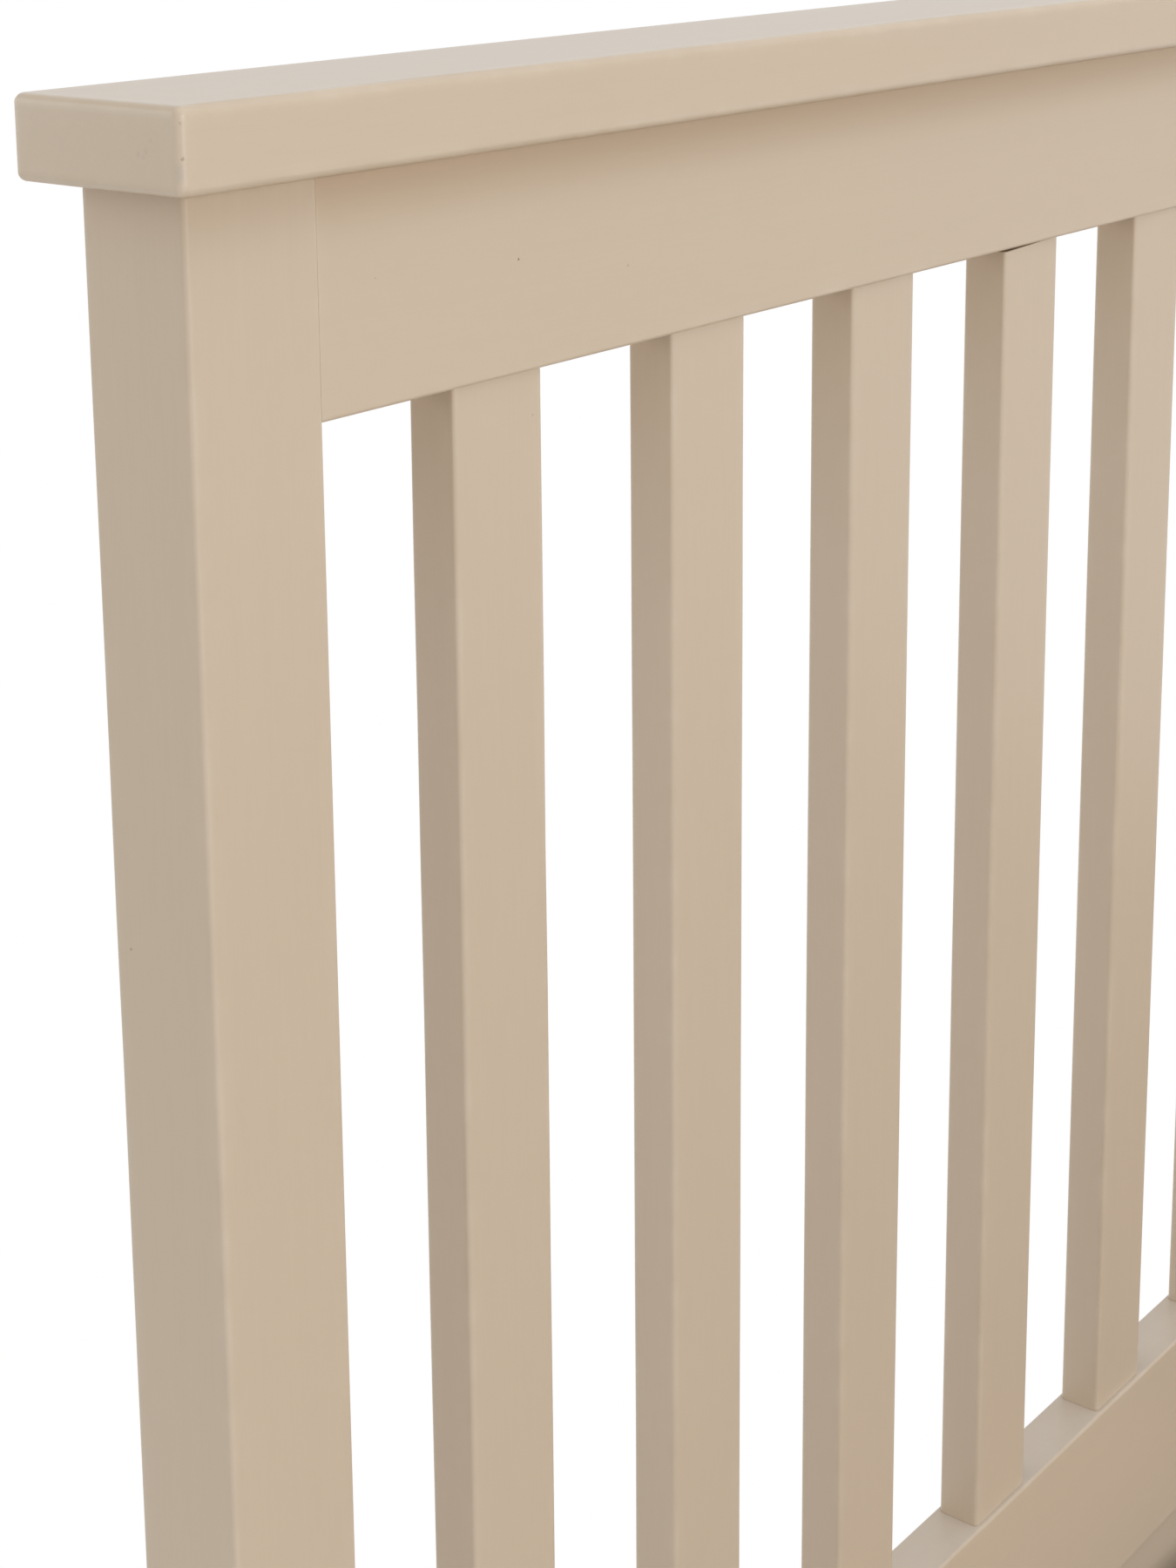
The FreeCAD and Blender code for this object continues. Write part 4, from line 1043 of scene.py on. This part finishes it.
make_piece("mattress_stop_bent_bar", stop, coated, "platform", "grey_painted_steel", "mattress_stop_bar")
print("stop bar: %.0f mm wide, %.1f mm thick" % (2000 * high.x, 2000 * bar_radius))

# %% [markdown]
# ## Sprung slats and their holders
# Each sprung slat is glued up from thin beech veneers and bowed upwards, so that it gives a little.
# It is a board whose height follows a parabola, and the points carry how deep in the thickness they
# lie, so that the glue lines show on the edges. A holder is a moulded sleeve: one grid starts at the
# bottom of its pocket, comes out at the mouth, turns over the lip and runs back along the outside.

# %% Laminated beech
BEECH, BEECH_DARK, FLECK = (0.660, 0.455, 0.265), (0.530, 0.335, 0.175), (0.330, 0.180, 0.085)
BEECH_GRAIN, BEECH_FLECKS, BEECH_TONE = (7.0, 190.0, 190.0), (120.0, 1050.0, 1050.0), (0.6, 14.0, 1.0)
BEECH_DEPTH = 0.00006
VENEERS = 7
LACQUER, LACQUER_ROUGHNESS = 0.15, 0.2


def laminated_beech():
    """Lacquered beech laminate with its grain across the bed: streaks, short dark flecks, and glue
    lines where the depth mark passes from one veneer to the next."""
    wood = Finish("laminated_beech")
    streaks = wood.place.stretch(BEECH_GRAIN).noise(1.0, detail=4.0, roughness=0.6)
    flecks = 1 - wood.place.stretch(BEECH_FLECKS).cells(1.0).step(0.12, 0.26)
    tone = wood.place.stretch(BEECH_TONE).noise(1.0, detail=0.0)
    depth = wood.mark("depth")
    glue = 1 - wood.start.math("PINGPONG", depth * VENEERS, 0.5).step(0.0, 0.12)
    seam = glue * (depth.step(0.03, 0.08) * (1 - depth.step(0.92, 0.97)))
    colour = blend(BEECH, BEECH_DARK, streaks.step(0.30, 0.75))
    colour = shade(blend(colour, FLECK, flecks * 0.45), 0.86 + 0.26 * tone)
    colour = blend(colour, FLECK, seam * 0.7)
    normal = wood.bump(streaks * 0.6 - flecks * 0.4 - seam, BEECH_DEPTH)
    return wood.set(Base_Color=colour, Roughness=0.36 + 0.16 * streaks, Normal=normal,
                    Coat_Weight=LACQUER, Coat_Roughness=LACQUER_ROUGHNESS)


beech = laminated_beech()
print("slats:", beech.name, "of", VENEERS, "veneers")

# %% Beech slats
SLAT_ROUND, SLAT_END = 0.0028, 0.0012
ROWS, SLAT_WIDTH, SLAT_THICK, SLAT_INNER = 13, 0.053, 0.008, 0.012
slat_low, slat_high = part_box("sprung_slats")
slat_bow = slat_high.z - slat_low.z - SLAT_THICK
row_places = np.linspace(slat_low.y, slat_high.y - SLAT_WIDTH, ROWS)


def sprung_slat(side, y, seed):
    """A board bowed upwards: its height grows by the bow times one less the square of the place
    along it, which runs from -1 at one end to 1 at the other."""
    ends = sorted((side * SLAT_INNER, side * slat_high.x))
    low, high = (ends[0], y, slat_low.z), (ends[1], y + SLAT_WIDTH, slat_low.z + SLAT_THICK)
    points, faces, marks = board_surface(low, high, ACROSS, (SLAT_ROUND,) * 4, SLAT_END, seed=seed)
    marks["depth"] = (points[:, 2] - slat_low.z) / SLAT_THICK
    along = (2 * points[:, 0] - sum(ends)) / (ends[1] - ends[0])
    points[:, 2] += slat_bow * (1 - along ** 2)
    return points, faces, marks


slat_boards = [sprung_slat(side, y, row) for row, y in enumerate(row_places) for side in (-1, 1)]
make_piece("sprung_slat_set", joined(slat_boards), beech, "platform", "beech", "sprung_slats")
print("sprung slats:", len(slat_boards), "with a bow of %.1f mm" % (slat_bow * 1000))

# %% Pockets of the holders
HOLDER_ROUNDS, POCKET_ROUND, LIP = (0.005, 0.005, 0.0015, 0.0015), 0.0029, 0.0010
HOLDER_SIDE, POCKET_GAP, POCKET_HEADROOM = 0.0045, 0.0003, 0.003
holder_low, holder_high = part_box("slat_holders")
holder_level = (holder_low.z + holder_high.z) / 2
holder_half = (SLAT_WIDTH / 2 + HOLDER_SIDE, (holder_high.z - holder_low.z) / 2)
pocket_half = (SLAT_WIDTH / 2 + POCKET_GAP, (SLAT_THICK + POCKET_HEADROOM) / 2)
pocket_rise = slat_low.z - POCKET_GAP + pocket_half[1] - holder_level


def pocket_rings(mouth, depth):
    """Rings from the bottom of a pocket out over its lip: place along the holder, and outline."""
    turn = np.linspace(0, np.pi / 2, RIM_STEPS)
    lip_depth = LIP * np.sign(depth - mouth)
    places = [depth, depth, mouth + lip_depth]
    inner = rounded_outline(pocket_half, (POCKET_ROUND,) * 4, [LIP, 0.0, 0.0]) + (0.0, pocket_rise)
    lip_places = mouth + lip_depth * (1 - np.sin(turn))
    lip = rounded_outline(holder_half, HOLDER_ROUNDS, LIP * (1 - np.cos(turn[::-1])))
    return np.concatenate([places, lip_places[::-1]]), np.concatenate([inner, lip])


print("pockets: %.1f mm wide, %.1f mm high" % tuple(2000 * size for size in pocket_half))

# %% Slat holders
HOLDER_LENGTH, HOLDER_GRIP = 0.032, 0.0205
GROOVES, GROOVE_PITCH, GROOVE = 3, 0.0032, 0.0009
GROOVE_PLACE_SHARES = np.array((-0.45, -0.25, 0.0, 0.25, 0.45))
GROOVE_DEPTH_SHARES = np.array((0.0, 0.1, 1.0, 0.1, 0.0))


def holder_surface(mouth, back, y, open_back):
    """A sleeve from its mouth to its back, with grip grooves round it, and a second pocket where
    the back is open too."""
    inward = np.sign(back - mouth)
    first_places, first_rings = pocket_rings(mouth, mouth + inward * HOLDER_GRIP)
    groove_middles = np.arange(GROOVES)[:, None] - (GROOVES - 1) / 2
    steps = (groove_middles + GROOVE_PLACE_SHARES).ravel() * GROOVE_PITCH
    firm = LIP + NEAR_EDGE
    middle = (mouth + back) / 2 + inward * steps
    outside = np.concatenate([[mouth + inward * firm], middle, [back - inward * firm]])
    depths = np.concatenate([[0.0], np.tile(GROOVE * GROOVE_DEPTH_SHARES, GROOVES), [0.0]])
    groove_rings = rounded_outline(holder_half, HOLDER_ROUNDS, depths)
    if open_back:
        last_places, last_rings = pocket_rings(back, back - inward * HOLDER_GRIP)
        last_places, last_rings = last_places[::-1], last_rings[::-1]
    else:
        turn = np.linspace(0, np.pi / 2, RIM_STEPS)
        last_places = back - inward * LIP * (1 - np.sin(turn))
        last_rings = rounded_outline(holder_half, HOLDER_ROUNDS, LIP * (1 - np.cos(turn)))
    places = np.concatenate([first_places, outside, last_places])
    rings = np.concatenate([first_rings, groove_rings, last_rings])
    grid = np.empty((*rings.shape[:2], 3))
    grid[..., 0] = places[:, None]
    grid[..., 1:] = rings + (y + SLAT_WIDTH / 2, holder_level)
    return surface(grid)


holders = []
for y in row_places:
    holders += [holder_surface(side * (holder_high.x - HOLDER_LENGTH), side * holder_high.x, y, False)
                for side in (-1, 1)]
    holders.append(holder_surface(-HOLDER_LENGTH, HOLDER_LENGTH, y, True))
make_piece("slat_holder_set", joined(holders), plastic, "platform", "black_plastic", "slat_holders")
print("slat holders:", len(holders))

# %% [markdown]
# ## Hinges and gas struts
# The arms, plates, brackets and pins have their true shape in the packed model, so they keep it and
# only get a finish. The plates' screws get a cross recess, which a plain disc lacks. A gas strut
# is turned: a neck, a tube that is rolled in at its end with a crimp before it, and a polished rod.
# Its ends lie in the corners of the packed boxes, one eye's radius in.

# %% Dress the hinges
dress(zinc, "hinge_plate_left", "hinge_plate_right", "long_arm_left", "long_arm_right")
dress(zinc, "short_arm_left", "short_arm_right", "hinge_pins", "platform_pins")
dress(coated, "platform_brackets")
ARM_HALF_WIDTH, EYE_RADIUS, EYE_WIDTH = 0.014, 0.009, 0.010
SCREW_RADIUS, SCREW_RISE, CORNER_RISE = 0.005, 0.0005, 0.090
LINE_SHARES = np.array((0.2, 0.5, 0.8))
SCREW_SHARES = np.array([(1.0, -2.0), (1.0, 0.0), (0.95, 0.5), (0.75, 0.9), (0.62, 1.0), (0.58, 0.8),
                         (0.40, -3.0), (0.08, -3.2)])
SCREW_KINDS = [ROUND] * 4 + [CROSS] * 3 + [ROUND]
LOW_CORNER, HIGH_CORNER = range(2)


def side_place(node, corner, inset):
    """The (y, z) place of a pivot: a corner of a packed box, drawn in by the end's radius."""
    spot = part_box(node)[corner]
    return np.array((spot.y, spot.z)) + (inset if corner == LOW_CORNER else -inset)


long_base = side_place("long_arm_left", LOW_CORNER, ARM_HALF_WIDTH)
short_base = side_place("short_arm_left", LOW_CORNER, ARM_HALF_WIDTH)
strut_base = side_place("strut_cylinder_left", LOW_CORNER, EYE_RADIUS)
strut_top = side_place("strut_rod_left", HIGH_CORNER, EYE_RADIUS)
plate_corner = short_base + (0.0, CORNER_RISE)
spots = [strut_base + (short_base - strut_base) * s for s in LINE_SHARES]
spots += [strut_base + (long_base - strut_base) * s for s in LINE_SHARES[:2]]
spots.append(long_base + (plate_corner - long_base) * LINE_SHARES[1])
plate_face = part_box("hinge_plate_right")[0].x
screw_profile = SCREW_SHARES * (SCREW_RADIUS, SCREW_RISE)
screws = [turned_surface(screw_profile, (side * plate_face, y, z), -side * X_AXIS, SCREW_KINDS)
          for side in (-1, 1) for y, z in spots]
make_piece("hinge_screw_heads", joined(screws), zinc, "bed_frame", "zinc_steel", "hinge_screws")
print("hinge screws:", len(screws))

# %% Turn the gas struts
STRUT_RADIUS, NECK_RADIUS, ROD_RADIUS = 0.010, 0.005, 0.004
TUBE_START, ROD_SHOW, ROD_START, STRUT_EASE, EYE_EASE = 0.014, 0.047, 0.034, 0.0022, 0.0012
CRIMP_BACK, CRIMP_DEPTH, CRIMP_HALF, CRIMP_STEPS = 0.013, 0.0009, 0.0016, 7
NECK_SHARES = np.array([(0.9, 0.5), (1.0, 0.7)])
GLAND_SHARES, GLAND_DIP = np.array([(1.5, 0.0), (1.4, -1.0), (1.05, 0.0)]), 0.001


def strut_profile(length):
    """Neck, tube and rolled-in end of a gas strut, as radii against distance from the lower eye."""
    end = length - ROD_SHOW
    neck = np.concatenate([NECK_SHARES * (NECK_RADIUS, EYE_RADIUS), [(NECK_RADIUS, TUBE_START)]])
    body = drum(STRUT_RADIUS, TUBE_START, end, STRUT_EASE)
    along = np.linspace(-1, 1, CRIMP_STEPS)
    dip = np.cos(along * np.pi / 2) ** 2
    crimp = np.stack([STRUT_RADIUS - CRIMP_DEPTH * dip, end - CRIMP_BACK + CRIMP_HALF * along], axis=1)
    gland = GLAND_SHARES * (ROD_RADIUS, GLAND_DIP) + (0.0, end)
    return np.concatenate([neck, body[:RIM_STEPS], crimp, body[RIM_STEPS:], gland])


def eye_surface(x, place):
    """The round end of a strut, turned across the bed about its pivot."""
    half = EYE_WIDTH / 2
    return turned_surface(drum(EYE_RADIUS, -half, half, EYE_EASE), (x, *place), X_AXIS)


strut_length = float(np.linalg.norm(strut_top - strut_base))
strut_axis = np.array((0.0, *(strut_top - strut_base) / strut_length))
rod_profile = drum(ROD_RADIUS, ROD_START, strut_length, EYE_EASE)
for side in ("left", "right"):
    low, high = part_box("strut_cylinder_" + side)
    x = (low.x + high.x) / 2
    base = (x, *strut_base)
    tube = [turned_surface(strut_profile(strut_length), base, strut_axis), eye_surface(x, strut_base)]
    make_piece("strut_tube_" + side, joined(tube), gloss, "strut_cylinder_" + side,
               "black_painted_steel", "strut_cylinder_" + side)
    rod = [turned_surface(rod_profile, base, strut_axis), eye_surface(x, strut_top)]
    make_piece("strut_polished_rod_" + side, joined(rod), polished, "strut_rod_" + side,
               "polished_steel", "strut_rod_" + side)
print("gas struts: %.1f mm between the eyes" % (strut_length * 1000))

# %% [markdown]
# ## The lift strap
# A hand pulls the platform up by a loop of black webbing that is screwed to the foot tube. Webbing is
# flat and springy: it lies flat at its tabs, turns up over a small bend and goes over in one arc.
# The path is two runs, two small arcs and a large one that touch each other; the band is a thin
# rounded outline carried along it. Its points carry the distance along and across the band, so the
# weave follows the band. Four rows of stitches hold each folded tab. The packed screw heads are plain
# discs, so a domed head with a cross recess, a hair wider and taller, goes over each.

# %% Webbing and thread
WEB, WEB_WORN = (0.010, 0.010, 0.012), (0.050, 0.050, 0.055)
WEFT_PITCH, WARP_PITCH, PICK_DEPTH, FUZZ_SCALE = 0.0017, 0.0013, 0.00028, 2600.0
SHEEN, SHEEN_ROUGHNESS = 0.25, 0.5
THREAD, THREAD_PALE, PLY = (0.030, 0.030, 0.033), (0.085, 0.085, 0.090), (900.0, 900.0, 300.0)


def woven_webbing():
    """Black webbing in plain weave: two sines, along and across the band, cross as raised picks."""
    cloth = Finish("black_webbing_weave")
    along = cloth.start.math("SINE", cloth.mark("along") * (2 * np.pi / WEFT_PITCH))
    across = cloth.start.math("SINE", cloth.mark("across") * (2 * np.pi / WARP_PITCH))
    picks = along * across * 0.5 + 0.5
    fuzz = cloth.place.noise(FUZZ_SCALE, detail=2.0)
    colour = blend(WEB, WEB_WORN, picks * 0.7 + fuzz * 0.3)
    normal = cloth.bump(picks, PICK_DEPTH)
    return cloth.set(Base_Color=colour, Roughness=0.70 + 0.20 * fuzz, Normal=normal,
                     Sheen_Weight=SHEEN, Sheen_Roughness=SHEEN_ROUGHNESS)


def bonded_thread():
    """Bonded thread, a shade paler than the band that it sews."""
    twist = Finish("black_bonded_thread")
    ply = twist.place.stretch(PLY).noise(1.0, detail=1.0)
    return twist.set(Base_Color=blend(THREAD, THREAD_PALE, ply), Roughness=0.55 + 0.15 * ply)


webbing, thread = woven_webbing(), bonded_thread()
print("strap:", webbing.name, "sewn with", thread.name)

# %% Bend the strap
STRAP_ROUND, STRAP_BEND, STRAP_SPACING = 0.0010, 0.008, 0.0022
STRAP_THICK, STRAP_SPAN = 0.0025, 0.130
BEND_POINTS, ARCH_POINTS = 12, 40
strap_low, strap_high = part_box("lift_strap")
strap_middle = (strap_low.y + strap_high.y) / 2
strap_half = (strap_high.y - strap_low.y) / 2
tab_level = strap_low.z + STRAP_THICK / 2
arch_rise = strap_high.z - strap_low.z
arch_outer = ((STRAP_SPAN / 2) ** 2 + arch_rise ** 2) / (2 * arch_rise)
arch_radius = arch_outer - STRAP_THICK / 2
arch_level = strap_high.z - arch_outer
bend_level = tab_level + STRAP_BEND
bend_x = math.sqrt((arch_radius + STRAP_BEND) ** 2 - (bend_level - arch_level) ** 2)
touch = math.atan2(bend_level - arch_level, bend_x)
bend_sweep = np.linspace(-np.pi / 2, -touch, BEND_POINTS)
bend = STRAP_BEND * np.stack([np.cos(bend_sweep), np.sin(bend_sweep)], axis=1) + (-bend_x, bend_level)
arch_sweep = np.linspace(np.pi - touch, touch, ARCH_POINTS)
arch = arch_radius * np.stack([np.cos(arch_sweep), np.sin(arch_sweep)], axis=1) + (0.0, arch_level)
half_line = np.concatenate([[(strap_low.x, tab_level)], bend])
line = np.concatenate([half_line, arch[1:-1], (half_line * (-1, 1))[::-1]])
strap_path, strap_run = even_points(np.insert(line, 1, strap_middle, axis=1), STRAP_SPACING)
band = rounded_outline((strap_half, STRAP_THICK / 2), (STRAP_ROUND,) * 4, [0.0])[0]
weave = {"along": strap_run[:, None], "across": band[None, :, 0]}
strap = carried(band, strap_path, Y_AXIS, marks=weave)
make_piece("lift_strap_webbing", strap, webbing, "platform", "black_webbing", "lift_strap")
print("lift strap: %.0f mm long" % (strap_run[-1] * 1000))

# %% Sew and screw it down
STITCH_SIZE = np.array((0.0005, 0.0013, 0.00035))
STITCHES_IN_ROW, STITCH_SPREAD, STITCH_STEPS = 6, 0.75, 8
STITCH_LATITUDES = np.radians((-75, -45, 0, 45, 75))
STITCH_INSETS = (0.0025, 0.0045, 0.0205, 0.0225)
DOME_RADIUS, DOME_RISE = 0.0047, 0.0027
DOME_SHARES = np.array([(1.0, 0.0), (1.0, 0.45), (0.93, 0.75), (0.78, 0.94), (0.64, 1.0), (0.58, 0.97),
                        (0.42, 0.74), (0.08, 0.70)])
tab_top = strap_low.z + STRAP_THICK
ball = np.stack([np.cos(STITCH_LATITUDES), np.sin(STITCH_LATITUDES)], axis=1)
stitch, stitch_faces, _ = turned_surface(ball, ORIGIN, Z_AXIS, steps=STITCH_STEPS)
row_shares = np.linspace(-STITCH_SPREAD, STITCH_SPREAD, STITCHES_IN_ROW)
stitch_places = strap_middle + strap_half * row_shares
stitches = [(stitch * STITCH_SIZE + (side * (strap_high.x - inset), y, tab_top), stitch_faces, {})
            for side in (-1, 1) for inset in STITCH_INSETS for y in stitch_places]
make_piece("lift_strap_stitches", joined(stitches), thread, "platform", "black_webbing")

tab_middle = (STRAP_SPAN / 2 + strap_high.x) / 2
dome = DOME_SHARES * (DOME_RADIUS, DOME_RISE)
strap_screws = [turned_surface(dome, (side * tab_middle, strap_middle, tab_top), Z_AXIS, SCREW_KINDS)
                for side in (-1, 1)]
make_piece("strap_screw_heads", joined(strap_screws), zinc, "platform", "zinc_steel")
print("strap ends:", len(stitches), "stitches and", len(strap_screws), "screws")

# %% [markdown]
# ## Sizes
# The packed bed's box is measured once, when it is loaded.
